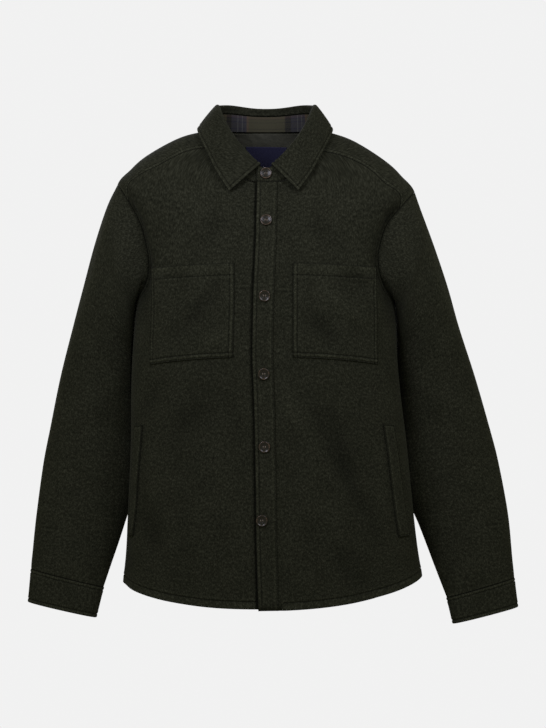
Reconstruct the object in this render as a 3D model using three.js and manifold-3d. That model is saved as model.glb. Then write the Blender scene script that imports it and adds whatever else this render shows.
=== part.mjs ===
import * as THREE from "three";
import Module from "manifold-3d";
import { mergeVertices } from "three/addons/utils/BufferGeometryUtils.js";

// Shacket in its worn shape: a hollow body, yoke, two sleeves, collar and buttoned front.
// Millimetres, Z up. The front faces -Y and the origin is at the base of the neck.
// "Left" and "right" in the names are the wearer's own, so the left front lies at +X.

// Driving sizes
const clothThickness = 2;
const doubledThickness = 3;
const liningThickness = 1;
const seamGap = 0.3;
const frontBandWidth = 32;
const frontLapOut = clothThickness + 2 * seamGap;
const buttonRadius = 9;
const buttonThickness = 3;
const cuffOut = 0.8;
const sleeveClearance = 1.4;
const bodySquareness = 2.3;
const sleeveSquareness = 2.25;
const armholeHalfLength = 85;

// Turns rows of a short table into objects with named columns.
function table(columns, rows) {
  const names = columns.split(" ");
  return rows.map((row) => Object.fromEntries(names.map((name, i) => [name, row[i]])));
}

// Rings of the body from hem to neck, numbered from 0. zFront, zSide and zBack are heights,
// front and back are depths, dip shapes how the height runs from side to centre.
const bodyRings = table(
  "zFront zSide zBack halfWidth front back dip tilt centre",
  [
    [-753, -714, -760, 239, 113, 108, 1.8, 5.5, 10],
    [-689, -670, -690, 233, 114, 108, 2, 2, 9],
    [-613, -610, -613, 228, 116, 109, 2, 0, 7],
    [-492, -500, -494, 220, 118, 110, 2, 0, 4],
    [-412, -428, -414, 215, 121, 112, 2, 0, 0],
    [-347, -366, -348, 211, 125, 115, 2, 0, -2],
    [-290, -306, -290, 208, 128, 117, 2, 0, -1],
    [-254, -276, -250, 206, 128, 118, 2, 0, -1],
    [-210, -226, -200, 209, 125, 117, 2, 0, -1],
    [-170, -165, -142, 221, 118, 112, 2, -3, -1],
    [-138, -101, -84, 238, 109, 99, 2, -6, 0],
    [-120, -67, -51, 214, 100, 89, 1.8, -5, 0],
    [-108, -42, -28, 185, 94, 81, 1.6, -4, 0],
    [-99, -14, -10, 136, 89, 73, 1.45, -2, 0],
    [-91, 0, 1, 88, 86, 68, 1.3, 0, 0],
  ],
);
const neckLevel = bodyRings.length - 1;
const backYokeLevel = 9.45;

// Upper armhole and yoke sizes on each side. Angles are in degrees round the body from the
// centre front, and the left armhole reaches further in. The front yoke seam bows forward round
// a level.
const sides = {
  left: { sign: 1, frontReach: 32, backReach: 30, yokeAngle: 64, bow: 4.6, bowLevel: 11.2 },
  right: { sign: -1, frontReach: 27, backReach: 30, yokeAngle: 68, bow: 4.2, bowLevel: 11.9 },
};
const bowSpread = 0.85;
const armholeLevel = 8.6;
const armholeHalfHeight = 1.55;
const armholeSquareness = { low: 2, high: 2.6 };
const valleyDepth = 9;
const valleySpread = 0.24;

// Edge of the upper front and the button centres, seen from the front.
const frontEdge = table("z x", [
  [-84, -14], [-180, -15.7], [-269, -19.7], [-358, -21.3],
  [-446, -18], [-558, -16], [-645, -15], [-753, -11.8],
]);
const buttonPlaces = table("x z", [
  [0.3, -152], [-2.1, -268], [-3.2, -388], [-2.4, -501], [-6.2, -615],
]);

// Long soft hollows in the body cloth: where round the body, how far up, how wide, how deep.
const hollows = table("angle top spread depth", [
  [38, 5.5, 9, 2.5],
  [-32, 6, 8, 2],
  [-78, 5, 9, 3],
  [100, 6, 9, 3],
  [128, 7.5, 10, 5],
  [158, 8, 9, 4],
  [197, 8, 8, 4.5],
  [226, 7, 11, 5],
  [258, 6, 9, 3],
]);

const radians = Math.PI / 180;

function mix(a, b, share) {
  return a + (b - a) * share;
}

function ramp(from, to, value) {
  const t = Math.min(1, Math.max(0, (value - from) / (to - from)));
  return t * t * (3 - 2 * t);
}

// Smooth curve through one column of a table, at a row number that need not be whole.
function column(rows, name, at) {
  const last = rows.length - 1;
  const i = Math.min(last - 1, Math.max(0, Math.floor(at)));
  const t = at - i;
  const b = rows[i][name];
  const c = rows[i + 1][name];
  const a = i > 0 ? rows[i - 1][name] : 2 * b - c;
  const d = i < last - 1 ? rows[i + 2][name] : 2 * c - b;
  const slopeB = (c - a) / 2;
  const slopeC = (d - b) / 2;
  const t2 = t * t;
  const t3 = t2 * t;
  return (2 * t3 - 3 * t2 + 1) * b + (t3 - 2 * t2 + t) * slopeB
    + (3 * t2 - 2 * t3) * c + (t3 - t2) * slopeC;
}

// Straight-line reading of a table by one of its columns.
function lookUp(rows, key, name, value) {
  const rising = rows[rows.length - 1][key] > rows[0][key];
  let i = 0;
  while (i < rows.length - 2 && (rising ? value > rows[i + 1][key] : value < rows[i + 1][key])) {
    i += 1;
  }
  const share = (value - rows[i][key]) / (rows[i + 1][key] - rows[i][key]);
  return mix(rows[i][name], rows[i + 1][name], Math.min(1, Math.max(0, share)));
}

function power(value, exponent) {
  return Math.sign(value) * Math.abs(value) ** exponent;
}

// Which side of the body an angle is on, and how far it is from that armhole's middle.
function sideOf(angle) {
  const turned = ((angle + 180) % 360 + 360) % 360 - 180;
  const side = turned >= 0 ? sides.left : sides.right;
  return { side, off: Math.abs(turned) - 90 };
}

// Distance from an armhole's middle: 1 on its seam, more on the body.
function armholeReach(angle, level) {
  const { side, off } = sideOf(angle);
  const reach = off < 0 ? side.frontReach : side.backReach;
  const across = Math.abs(off) / reach;
  const up = Math.abs(level - armholeLevel) / armholeHalfHeight;
  const square = level < armholeLevel ? armholeSquareness.low : armholeSquareness.high;
  return { ratio: (across ** square + up ** square) ** (1 / square), across: Math.min(1, across) };
}

// How far the cloth sinks inwards at a place on the body.
function sink(angle, level) {
  const { ratio, across } = armholeReach(angle, level);
  let depth = valleyDepth * Math.exp(-(((ratio - 1) / valleySpread) ** 2)) * across * across;
  const turned = ((angle + 180) % 360 + 360) % 360 - 180;
  for (const hollow of hollows) {
    const middle = hollow.angle > 180 ? hollow.angle - 360 : hollow.angle;
    const away = (turned - middle) / hollow.spread;
    depth += hollow.depth * Math.exp(-away * away) * ramp(hollow.top, hollow.top - 4, level);
  }
  return depth;
}

// A point on the outside of the body cloth, with no lap or band.
function bodyPoint(angle, level) {
  const a = angle * radians;
  const wide = power(Math.sin(a), 2 / bodySquareness);
  const deep = power(Math.cos(a), 2 / bodySquareness);
  const inFront = deep >= 0;
  const end = column(bodyRings, inFront ? "zFront" : "zBack", level);
  const side = column(bodyRings, "zSide", level);
  const depth = column(bodyRings, inFront ? "front" : "back", level);
  const dip = column(bodyRings, "dip", level);
  const inwards = sink(angle, level);
  return new THREE.Vector3(
    column(bodyRings, "centre", level) + column(bodyRings, "halfWidth", level) * wide
      - inwards * Math.sin(a),
    -depth * deep + inwards * Math.cos(a),
    side + (end - side) * Math.abs(deep) ** dip
      + column(bodyRings, "tilt", level) * Math.sin(a),
  );
}

// The way out of the body cloth.
function bodyNormal(angle, level) {
  const step = 0.02;
  const low = Math.max(0, level - step);
  const high = Math.min(neckLevel, level + step);
  const round = bodyPoint(angle + 0.4, level).sub(bodyPoint(angle - 0.4, level));
  const upward = bodyPoint(angle, high).sub(bodyPoint(angle, low));
  return round.cross(upward).normalize();
}

function bodyOut(angle, level, out) {
  return bodyPoint(angle, level).addScaledVector(bodyNormal(angle, level), out);
}

// The angle round the body at which a ring passes a given x on the front.
function angleAtX(x, level) {
  const share = (x - column(bodyRings, "centre", level)) / column(bodyRings, "halfWidth", level);
  return Math.asin(power(share, bodySquareness / 2)) / radians;
}

// The ring number at which the front passes a given height at a given x.
function levelAt(x, z) {
  let low = 0;
  let high = neckLevel;
  for (let i = 0; i < 40; i += 1) {
    const middle = (low + high) / 2;
    const wide = column(bodyRings, "halfWidth", middle);
    const beyond = Math.abs(x - column(bodyRings, "centre", middle)) > wide;
    if (beyond || bodyPoint(angleAtX(x, middle), middle).z > z) {
      high = middle;
    } else {
      low = middle;
    }
  }
  return (low + high) / 2;
}

// A closed wall between a grid of outer points and the matching grid of inner points.
function wall(outer, inner, around = false) {
  const rows = outer.length;
  const columns = outer[0].length;
  const positions = [];
  for (const grid of [outer, inner]) {
    for (const row of grid) {
      for (const point of row) {
        positions.push(point.x, point.y, point.z);
      }
    }
  }
  const index = [];
  const id = (layer, r, c) => layer * rows * columns + r * columns + (c % columns);
  const quad = (a, b, c, d) => index.push(a, b, c, a, c, d);
  const lastColumn = around ? columns : columns - 1;
  for (let r = 0; r < rows - 1; r += 1) {
    for (let c = 0; c < lastColumn; c += 1) {
      quad(id(0, r, c), id(0, r, c + 1), id(0, r + 1, c + 1), id(0, r + 1, c));
      index.push(id(1, r, c), id(1, r + 1, c + 1), id(1, r, c + 1));
      index.push(id(1, r, c), id(1, r + 1, c), id(1, r + 1, c + 1));
    }
  }
  for (let c = 0; c < lastColumn; c += 1) {
    quad(id(0, 0, c + 1), id(0, 0, c), id(1, 0, c), id(1, 0, c + 1));
    const top = rows - 1;
    quad(id(0, top, c), id(0, top, c + 1), id(1, top, c + 1), id(1, top, c));
  }
  if (!around) {
    for (let r = 0; r < rows - 1; r += 1) {
      quad(id(0, r, 0), id(0, r + 1, 0), id(1, r + 1, 0), id(1, r, 0));
      const end = columns - 1;
      quad(id(0, r + 1, end), id(0, r, end), id(1, r, end), id(1, r + 1, end));
    }
  }
  const a = new THREE.Vector3();
  const b = new THREE.Vector3();
  const c = new THREE.Vector3();
  let volume = 0;
  for (let i = 0; i < index.length; i += 3) {
    a.fromArray(positions, 3 * index[i]);
    b.fromArray(positions, 3 * index[i + 1]);
    c.fromArray(positions, 3 * index[i + 2]);
    volume += a.dot(b.cross(c));
  }
  if (volume < 0) {
    for (let i = 0; i < index.length; i += 3) {
      [index[i + 1], index[i + 2]] = [index[i + 2], index[i + 1]];
    }
  }
  const geometry = new THREE.BufferGeometry();
  geometry.setAttribute("position", new THREE.Float32BufferAttribute(positions, 3));
  geometry.setIndex(index);
  geometry.computeVertexNormals();
  return geometry;
}

// Cloth on the body from a grid of places, each with an angle, a level and a distance out.
function bodyCloth(places, thickness) {
  const outer = places.map((row) => row.map((p) => bodyOut(p.angle, p.level, p.out)));
  const inner = places.map((row) => row.map((p) => bodyOut(p.angle, p.level, p.out - thickness)));
  return wall(outer, inner);
}

const group = new THREE.Group();
group.name = "shacket";

const wool = { color: 0x23241e, roughness: 0.95, metalness: 0 };
const woolDark = { color: 0x1f2019, roughness: 0.95, metalness: 0 };
const check = { color: 0x282824, roughness: 0.9, metalness: 0 };
const lining = { color: 0x292924, roughness: 0.7, metalness: 0 };
const label = { color: 0x191928, roughness: 0.7, metalness: 0 };
const horn = { color: 0x1c1512, roughness: 0.35, metalness: 0 };

function add(name, geometry, look) {
  const mesh = new THREE.Mesh(geometry, new THREE.MeshStandardMaterial(look));
  mesh.name = name;
  group.add(mesh);
  return mesh;
}

// Places along each armhole seam. The lower and upper parts of the front and the back of the
// seam share their levels with the rows of the panels, so that the edges meet point by point.
function armholeOffset(level, reach, share) {
  const up = Math.abs(level - armholeLevel) / (armholeHalfHeight * share);
  const square = level < armholeLevel ? armholeSquareness.low : armholeSquareness.high;
  return reach * share * Math.max(0, 1 - up ** square) ** (1 / square);
}

// The upper level at which the armhole seam passes an offset in degrees.
function armholeTopLevel(offset, reach, share) {
  const across = Math.abs(offset) / (reach * share);
  const up = Math.max(0, 1 - across ** armholeSquareness.high) ** (1 / armholeSquareness.high);
  return armholeLevel + armholeHalfHeight * share * up;
}

const armpitLevel = armholeLevel - armholeHalfHeight;
const lowLevels = [0, 0.45, 1, 1.55, 2.4, 3.35, 3.85, 4.3, 4.75, 5.4, 5.95, 6.5];
const armholeRise = [0.03, 0.11, 0.25, 0.5, 0.8, 1.25, 1.75, 2.2];
const pocketBottomRow = 8;
const pocketTopRise = 4;
const pocketTopRow = lowLevels.length + 1 + pocketTopRise;
const pocketBottomLevel = lowLevels[pocketBottomRow];
const pocketTopLevel = armpitLevel + armholeRise[pocketTopRise];
const yokeShares = [0, 0.13, 0.3, 0.52, 0.76, 1];

for (const side of Object.values(sides)) {
  side.seamLevel = armholeTopLevel(90 - side.yokeAngle, side.frontReach, 1);
  side.backAngle = 90 + armholeOffset(backYokeLevel, side.backReach, 1);
}

// Levels of the rows of a front panel: hem to armpit, up the armhole, then up the yoke seam.
function frontLevels(side) {
  const rise = armholeRise.map((r) => armpitLevel + r).filter((l) => l < side.seamLevel - 0.1);
  const top = yokeShares.map((share) => mix(side.seamLevel, neckLevel, share));
  return [...lowLevels, armpitLevel, ...rise, ...top];
}

// How far the front yoke seam bows forward, in degrees. At the armhole it doesn't.
function yokeBow(side, level, share) {
  const off = (level - side.bowLevel) / bowSpread;
  return side.bow * Math.exp(-off * off) * ramp(0, yokeShares[1], share);
}

// Outer limit of a front panel, in degrees from the centre front.
function frontLimit(side, level) {
  if (level <= armpitLevel + 1e-6) {
    return 90;
  }
  if (level >= side.seamLevel - 1e-6) {
    const share = (level - side.seamLevel) / (neckLevel - side.seamLevel);
    return side.yokeAngle - yokeBow(side, level, share);
  }
  return 90 - armholeOffset(level, side.frontReach, 1);
}

// Columns of the upper front's edge and band, as angles at a level.
function bandAngles(level) {
  const z = bodyPoint(0, level).z;
  const edge = lookUp(frontEdge, "z", "x", z);
  return [0, 0.5, 1].map((share) => angleAtX(edge + share * frontBandWidth, level));
}

// Pocket columns stay at fixed angles over the chest. Lower down the outer columns move to
// the two edges of the hand pocket welt.
const welts = {
  left: { topLevel: 3.35, bottomLevel: 1.55, frontTop: 53, rearTop: 62.5, frontLow: 57.5, rearLow: 69 },
  right: { topLevel: 3.35, bottomLevel: 1.55, frontTop: 61.5, rearTop: 72, frontLow: 69, rearLow: 80 },
};
const pocketColumns = {
  left: { near: 9.2, farLow: 53.9, farTop: 56 },
  right: { near: 10.6, farLow: 55.5, farTop: 58.5 },
};
const pocketParts = 5;

function panelAngles(name, level) {
  const side = sides[name];
  const welt = welts[name];
  const limit = frontLimit(side, level);
  const { near, farLow, farTop } = pocketColumns[name];
  const rise = (level - pocketBottomLevel) / (pocketTopLevel - pocketBottomLevel);
  const far = mix(farLow, farTop, Math.min(1, Math.max(0, rise)));
  const band = bandAngles(level).map((angle) => angle * side.sign);
  const bandEnd = Math.max(...band);
  const first = Math.max(near, bandEnd + 2.5);
  const down = (welt.topLevel - level) / (welt.topLevel - welt.bottomLevel);
  const low = ramp(4.5, 3.5, level);
  const last = mix(Math.min(far, limit - 2.6), mix(welt.frontTop, welt.frontLow, down), low);
  const rearWelt = Math.min(86, mix(welt.rearTop, welt.rearLow, down));
  const rear = mix(mix(last, limit, 0.36), rearWelt, low);
  const angles = [];
  for (let i = 0; i <= pocketParts; i += 1) {
    angles.push(mix(first, last, i / pocketParts));
  }
  angles.push(rear, mix(rear, limit, 0.5), limit);
  return angles;
}

// A small turn in degrees that moves a point on the body by a distance.
function turnFor(distance, angle, level) {
  const ahead = bodyPoint(angle + 0.5, level).sub(bodyPoint(angle - 0.5, level)).length();
  return distance / ahead;
}

// A small change of level that moves a point on the body by a distance.
function climbFor(distance, angle, level) {
  const low = Math.max(0, level - 0.05);
  const high = Math.min(neckLevel, level + 0.05);
  const rise = bodyPoint(angle, high).sub(bodyPoint(angle, low)).length();
  return (distance * (high - low)) / rise;
}

// The pocket columns rise a little towards the side seam, and the columns beyond them less.
const pocketLift = 0.12;
const liftBeyond = [0.6, 0.3, 0];
const liftFade = { from: 9.6, to: 8.2 };

function liftAt(column, level) {
  const height = (level - pocketBottomLevel) / (pocketTopLevel - pocketBottomLevel);
  const rise = Math.min(1, Math.max(0, height));
  const within = column <= pocketParts;
  const across = within ? column / pocketParts : liftBeyond[column - pocketParts - 1];
  const lift = within ? (across * rise) ** 2 : across * rise * rise;
  return pocketLift * lift * ramp(liftFade.from, liftFade.to, level);
}

// The upper front hangs a little lower than the under front at the centre, in levels.
const hemLapDrop = 0.045;

// Grid of a front panel. The upper front is lifted off the lower one along the lap.
function frontPlaces(name) {
  const side = sides[name];
  const upper = name === "left";
  return frontLevels(side).map((level) => {
    const band = bandAngles(level);
    const panel = panelAngles(name, level);
    const limit = panel.length - 1;
    panel[limit] -= turnFor(seamGap / 2, panel[limit] * side.sign, level);
    const places = panel.map((angle, i) => ({
      angle: angle * side.sign,
      level: level + liftAt(i, level),
      out: 0,
    }));
    if (!upper) {
      places.reverse();
    }
    const lap = band.map((angle) => ({ angle, level, out: upper ? frontLapOut : 0 }));
    const row = upper ? [...lap, ...places] : [...places, ...lap];
    if (upper && level === 0) {
      row.forEach((place, i) => {
        place.level = -hemLapDrop * (1 - i / (row.length - 1));
      });
    }
    return row;
  });
}

const leftPlaces = frontPlaces("left");
const rightPlaces = frontPlaces("right");
add("front_left_wearer", bodyCloth(leftPlaces, clothThickness), wool);
add("front_right_wearer", bodyCloth(rightPlaces, clothThickness), wool);

// The front band lies on the edge of the upper front, from hem to neck.
const bandPlaces = leftPlaces.map((row) => row.slice(0, 3).map((place) => ({
  ...place,
  out: place.out + seamGap + clothThickness,
})));
add("front_placket", bodyCloth(bandPlaces, clothThickness), wool);

// Patch pockets lie on the panels' own points.
function pocketPlaces(places, firstColumn) {
  return places.slice(pocketBottomRow, pocketTopRow + 1).map((row) => (
    row.slice(firstColumn, firstColumn + pocketParts + 1).map((place) => ({
      ...place,
      out: place.out + seamGap + clothThickness,
    }))
  ));
}

add("chest_pocket_left_wearer", bodyCloth(pocketPlaces(leftPlaces, 3), clothThickness), wool);
add("chest_pocket_right_wearer", bodyCloth(pocketPlaces(rightPlaces, 3), clothThickness), wool);

// Welts stand over the mouths of the slanting hand pockets.
function weltPlaces(places, firstColumn) {
  return places.slice(3, 6).map((row) => (
    row.slice(firstColumn, firstColumn + 2).map((place) => ({
      ...place,
      out: place.out + seamGap + doubledThickness,
    }))
  ));
}

add("welt_left_wearer", bodyCloth(weltPlaces(leftPlaces, 8), doubledThickness), wool);
add("welt_right_wearer", bodyCloth(weltPlaces(rightPlaces, 2), doubledThickness), wool);

// The back runs from side seam to side seam and ends at the straight yoke seam.
const backShares = [0, 0.04, 0.11, 0.19, 0.28, 0.38, 0.46, 0.54, 0.62, 0.72, 0.81, 0.89, 0.96, 1];
const backRise = [0.03, 0.11, 0.25, 0.5, 0.8, 1.25, 1.75, 2.15];

function backLimit(side, level) {
  if (level <= armpitLevel + 1e-6) {
    return 90;
  }
  return 90 + armholeOffset(level, side.backReach, 1);
}

const backLevels = [...lowLevels, armpitLevel, ...backRise.map((r) => armpitLevel + r), backYokeLevel];
const backPlaces = backLevels.map((level) => {
  const from = backLimit(sides.left, level);
  const to = 360 - backLimit(sides.right, level);
  const low = level === backYokeLevel ? climbFor(seamGap / 2, 180, level) : 0;
  return backShares.map((share, i) => {
    let angle = mix(from, to, share);
    if (i === 0) {
      angle += turnFor(seamGap / 2, angle, level);
    }
    if (i === backShares.length - 1) {
      angle -= turnFor(seamGap / 2, angle, level);
    }
    return { angle, level: level - low, out: 0 };
  });
});
add("back", bodyCloth(backPlaces, clothThickness), wool);

// The yoke spans both shoulders. Its columns run from the lower edge up to the neck.
const capShares = [0.25, 0.5, 0.75];

function yokeAnglesOver(side) {
  const over = capShares.map((share) => mix(side.yokeAngle, side.backAngle, share));
  return [side.yokeAngle, ...over];
}

const backAngles = backShares.map((share) => (
  mix(sides.left.backAngle, 360 - sides.right.backAngle, share)
));
const yokeAngles = [
  ...yokeAnglesOver(sides.left),
  ...backAngles,
  ...yokeAnglesOver(sides.right).reverse().map((angle) => 360 - angle),
];

function yokeLowLevel(angle) {
  const { side, off } = sideOf(angle);
  if (off >= side.backAngle - 90 - 1e-6) {
    return backYokeLevel;
  }
  const reach = off < 0 ? side.frontReach : side.backReach;
  return armholeTopLevel(off, reach, 1);
}

function yokePlaces(out, trim) {
  const last = yokeAngles.length - 1;
  return yokeShares.map((share, row) => yokeAngles.map((angle, i) => {
    const low = yokeLowLevel(angle);
    let level = mix(low, neckLevel, share);
    const { side, off } = sideOf(angle);
    const near = Math.max(0, side.backAngle - 90 - off) / (side.backAngle - side.yokeAngle);
    let turned = angle - side.sign * yokeBow(side, level, share) * near * near;
    if (row === 0) {
      level += climbFor(trim, angle, level);
    }
    if (i === 0) {
      turned += turnFor(trim, angle, level);
    }
    if (i === last) {
      turned -= turnFor(trim, angle, level);
    }
    return { angle: turned, level, out };
  }));
}

add("yoke", bodyCloth(yokePlaces(0, seamGap / 2), clothThickness), wool);
const liningOut = -clothThickness - seamGap;
add("yoke_lining", bodyCloth(yokePlaces(liningOut, seamGap / 2), liningThickness), lining);

// A bare label on the lining, just under the neck.
const labelHalfWidth = 33.5;
const labelOut = liningOut - liningThickness - 0.9;
const labelLevels = [10.75, 11.6, 12.45];
const labelPlaces = labelLevels.map((level) => [-1, -0.67, -0.33, 0, 0.33, 0.67, 1].map((share) => ({
  angle: 180 - angleAtX(share * labelHalfWidth, level),
  level,
  out: labelOut,
})));
add("neck_label", bodyCloth(labelPlaces, liningThickness), label);

// Sleeve sections from the shoulder down, seen from the front: the outer and the inner edge,
// the half depth from front to back and how far behind the body's middle they hang.
const sleeveSections = {
  right: table("xOuter zOuter xInner zInner halfDepth behind", [
    [-253, -122, -206, -288, 74, 6],
    [-273, -180, -207, -306, 76, 16],
    [-292, -247, -206, -332, 73, 28],
    [-310, -312, -205, -368, 66, 40],
    [-331, -392, -205, -424, 57, 50],
    [-348, -474, -208, -490, 49, 54],
    [-360, -536, -208, -560, 43, 53],
    [-371, -621, -229.5, -636, 34, 48],
    [-377, -682, -250, -698, 25, 41],
    [-378, -702, -261, -731, 20, 38],
  ]),
  left: table("xOuter zOuter xInner zInner halfDepth behind", [
    [248, -132, 206, -288, 74, 6],
    [269, -187, 207, -306, 76, 16],
    [291, -250, 206, -332, 73, 28],
    [310, -314, 207, -368, 66, 40],
    [336, -392, 210, -424, 57, 50],
    [360, -474, 215, -490, 49, 54],
    [375, -532, 216, -562, 43, 53],
    [390, -615, 245, -630, 34, 48],
    [397, -690, 273, -704, 25, 41],
    [399, -716, 290, -748, 20, 38],
  ]),
};
const cuffEnds = {
  right: { xOuter: -382.5, zOuter: -755, xInner: -273, zInner: -780, halfDepth: 18, behind: 34 },
  left: { xOuter: 404.5, zOuter: -763, xInner: 300, zInner: -790, halfDepth: 18, behind: 34 },
};

// Soft hollows in the sleeves: how far down, where round, how long, how wide, how deep.
// Round angles run from 0 at the front to 90 at the outer edge and 180 at the back.
const sleeveHollows = table("down round length spread depth", [
  [1.6, 20, 1.2, 16, 4],
  [3.6, -30, 0.7, 22, 4],
  [4.7, 10, 0.6, 26, 3],
  [5.9, -20, 0.5, 24, 3],
  [7.3, 40, 0.6, 26, 2.5],
  [3.2, 190, 0.8, 22, 4],
  [5.2, 160, 0.7, 24, 4],
  [6.8, 205, 0.6, 26, 3],
]);

// The body's half width at a height and depth. Between these two heights the sleeves come
// clear of it.
const clearFrom = -228;
const clearBelow = -262;

function bodySideAt(z, y) {
  let low = 0;
  let high = armholeLevel;
  for (let i = 0; i < 30; i += 1) {
    const middle = (low + high) / 2;
    if (column(bodyRings, "zSide", middle) > z) {
      high = middle;
    } else {
      low = middle;
    }
  }
  const level = (low + high) / 2;
  const depth = column(bodyRings, y < 0 ? "front" : "back", level);
  const share = Math.min(1, Math.abs(y) / (depth + 2));
  const wide = (1 - share ** bodySquareness) ** (1 / bodySquareness);
  return {
    centre: column(bodyRings, "centre", level),
    half: column(bodyRings, "halfWidth", level) * wide,
  };
}

// The sleeve's edge at an armhole, a seam gap inside the body's edge, as places from the armpit
// up the front, over and down the back.
function armholePlaces(name) {
  const side = sides[name];
  const share = 1 - seamGap / armholeHalfLength;
  const places = [{ off: 0, level: armholeLevel - armholeHalfHeight * share }];
  const onFront = (level) => ({ off: -armholeOffset(level, side.frontReach, share), level });
  const onBack = (level) => ({ off: armholeOffset(level, side.backReach, share), level });
  for (const level of frontLevels(side)) {
    if (level > armpitLevel + 0.01 && level < side.seamLevel - 0.01) {
      places.push(onFront(level));
    }
  }
  for (const angle of yokeAnglesOver(side)) {
    const off = angle - 90;
    const reach = off < 0 ? side.frontReach : side.backReach;
    places.push({ off, level: armholeTopLevel(off, reach, share) });
  }
  places.push(onBack(backYokeLevel));
  for (const rise of [...backRise].reverse()) {
    places.push(onBack(armpitLevel + rise));
  }
  return places.map((place) => ({
    ...place,
    angle: side.sign * (90 + place.off),
    round: Math.atan2(
      place.level - armholeLevel,
      (-place.off / (place.off < 0 ? side.frontReach : side.backReach)) * armholeHalfHeight,
    ) / radians,
  }));
}

// A point on one ring of a sleeve: a squarish oval between its outer and its inner edge.
function sectionPoint(section, round, grow) {
  const a = round * radians;
  const across = power(Math.sin(a), 2 / sleeveSquareness);
  const along = power(Math.cos(a), 2 / sleeveSquareness);
  const halfX = (section.xOuter - section.xInner) / 2;
  const halfZ = (section.zOuter - section.zInner) / 2;
  const half = Math.hypot(halfX, halfZ);
  const size = (half + grow) / half;
  return new THREE.Vector3(
    (section.xOuter + section.xInner) / 2 + halfX * size * across,
    section.behind - (section.halfDepth + grow) * along,
    (section.zOuter + section.zInner) / 2 + halfZ * size * across,
  );
}

// Rings of a sleeve: step 0 is the armhole seam, 1 and on are the sections in the table.
function sleeveGrid(name, steps) {
  const side = sides[name];
  const sections = sleeveSections[name];
  const seam = armholePlaces(name);
  const strips = seam.map((place) => [
    bodyPoint(place.angle, place.level),
    ...sections.map((section) => sectionPoint(section, place.round, 0)),
  ]);
  return steps.map((down) => seam.map((place, i) => {
    const point = new THREE.Vector3(...["x", "y", "z"].map((axis) => column(strips[i], axis, down)));
    let inwards = 0;
    for (const hollow of sleeveHollows) {
      const away = (((place.round - hollow.round + 180) % 360) + 360) % 360 - 180;
      const along = (down - hollow.down) / hollow.length;
      inwards += hollow.depth * Math.exp(-(away * away) / (hollow.spread * hollow.spread))
        * Math.exp(-along * along);
    }
    const middle = Math.min(sections.length, Math.max(1, down)) - 1;
    const centre = new THREE.Vector3(
      (column(sections, "xOuter", middle) + column(sections, "xInner", middle)) / 2,
      column(sections, "behind", middle),
      (column(sections, "zOuter", middle) + column(sections, "zInner", middle)) / 2,
    );
    const inward = centre.sub(point).normalize();
    point.addScaledVector(inward, inwards * ramp(0, 1, down));
    const body = bodySideAt(point.z, point.y);
    const least = body.half + sleeveClearance * ramp(0, 0.6, down) + 0.5;
    const outward = (point.x - body.centre) * side.sign;
    if (down > 0) {
      point.x += side.sign * Math.max(0, least - outward) * ramp(clearFrom, clearBelow, point.z);
    }
    return point;
  }));
}

// Rings of a cuff, straight from the sleeve's end to the cuff's own end.
function cuffGrid(name) {
  const top = sleeveSections[name][sleeveSections[name].length - 1];
  const end = cuffEnds[name];
  const seam = armholePlaces(name);
  const rings = [0, 0.5, 1].map((share) => {
    const section = Object.fromEntries(
      Object.keys(end).map((key) => [key, mix(top[key], end[key], share)]),
    );
    return seam.map((place) => sectionPoint(section, place.round, cuffOut));
  });
  const drop = new THREE.Vector3(end.xOuter - top.xOuter, 0, end.zOuter - top.zOuter);
  drop.setLength(seamGap);
  for (const point of rings[0]) {
    point.add(drop);
  }
  return rings;
}

// The inner wall of a tube: each point moved in along the cloth's own normal.
function tubeInner(grid, thickness) {
  const rows = grid.length;
  const columns = grid[0].length;
  const inner = grid.map((row, r) => row.map((point, c) => {
    const round = grid[r][(c + 1) % columns].clone().sub(grid[r][(c + columns - 1) % columns]);
    const along = grid[Math.min(rows - 1, r + 1)][c].clone().sub(grid[Math.max(0, r - 1)][c]);
    return { point, normal: round.cross(along).normalize() };
  }));
  const centre = new THREE.Vector3();
  for (const point of grid[rows - 1]) {
    centre.addScaledVector(point, 1 / columns);
  }
  const sample = inner[rows - 1][0];
  const outwards = sample.normal.dot(sample.point.clone().sub(centre)) > 0 ? 1 : -1;
  return inner.map((row) => row.map(({ point, normal }) => (
    point.clone().addScaledVector(normal, -outwards * thickness)
  )));
}

const sleeveSteps = [0, 0.35, 0.75, 1.3, 2, 2.7, 3.4, 4.1, 4.8, 5.5, 6.3, 7.1, 7.9, 8.7, 9.4, 10];

// Each sleeve ends in a cuff, a doubled band.
for (const name of ["left", "right"]) {
  const sleeve = sleeveGrid(name, sleeveSteps);
  add(`sleeve_${name}_wearer`, wall(sleeve, tubeInner(sleeve, clothThickness), true), woolDark);
  const cuff = cuffGrid(name);
  add(`cuff_${name}_wearer`, wall(cuff, tubeInner(cuff, doubledThickness), true), woolDark);
}

// Collar stand: a band that rises from the neck seam. Its left end laps over the right one.
const standTop = {
  zFront: -67.5, zSide: 26, zBack: 27, halfWidth: 82, front: 82.5, back: 66, corner: 3,
};
const rollLine = {
  zFront: -66, zSide: 37, zBack: 37, halfWidth: 74, front: 79.8, back: 62, corner: 4,
};

// Seen from the front the neck is a V with a rounded foot, steeper at its two sides.
const neckFoot = 0.12;

function neckRise(wide) {
  return 0.8 * (Math.hypot(wide, neckFoot) - neckFoot) + 0.29 * Math.abs(wide) ** 5;
}

const standGap = 0.7;
const standLapStart = -8;
const standLapEnd = 368;

function ringPoint(ring, angle) {
  const a = angle * radians;
  const wide = power(Math.sin(a), 2 / bodySquareness);
  const deep = power(Math.cos(a), 2 / bodySquareness);
  const rise = neckRise(wide);
  const height = deep >= 0
    ? mix(ring.zFront, ring.zSide, rise)
    : mix(ring.zSide, ring.zBack, -deep) + ring.corner * Math.sin(2 * a) ** 2;
  return new THREE.Vector3(
    ring.halfWidth * wide,
    -(deep >= 0 ? ring.front : ring.back) * deep,
    height,
  );
}

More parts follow.
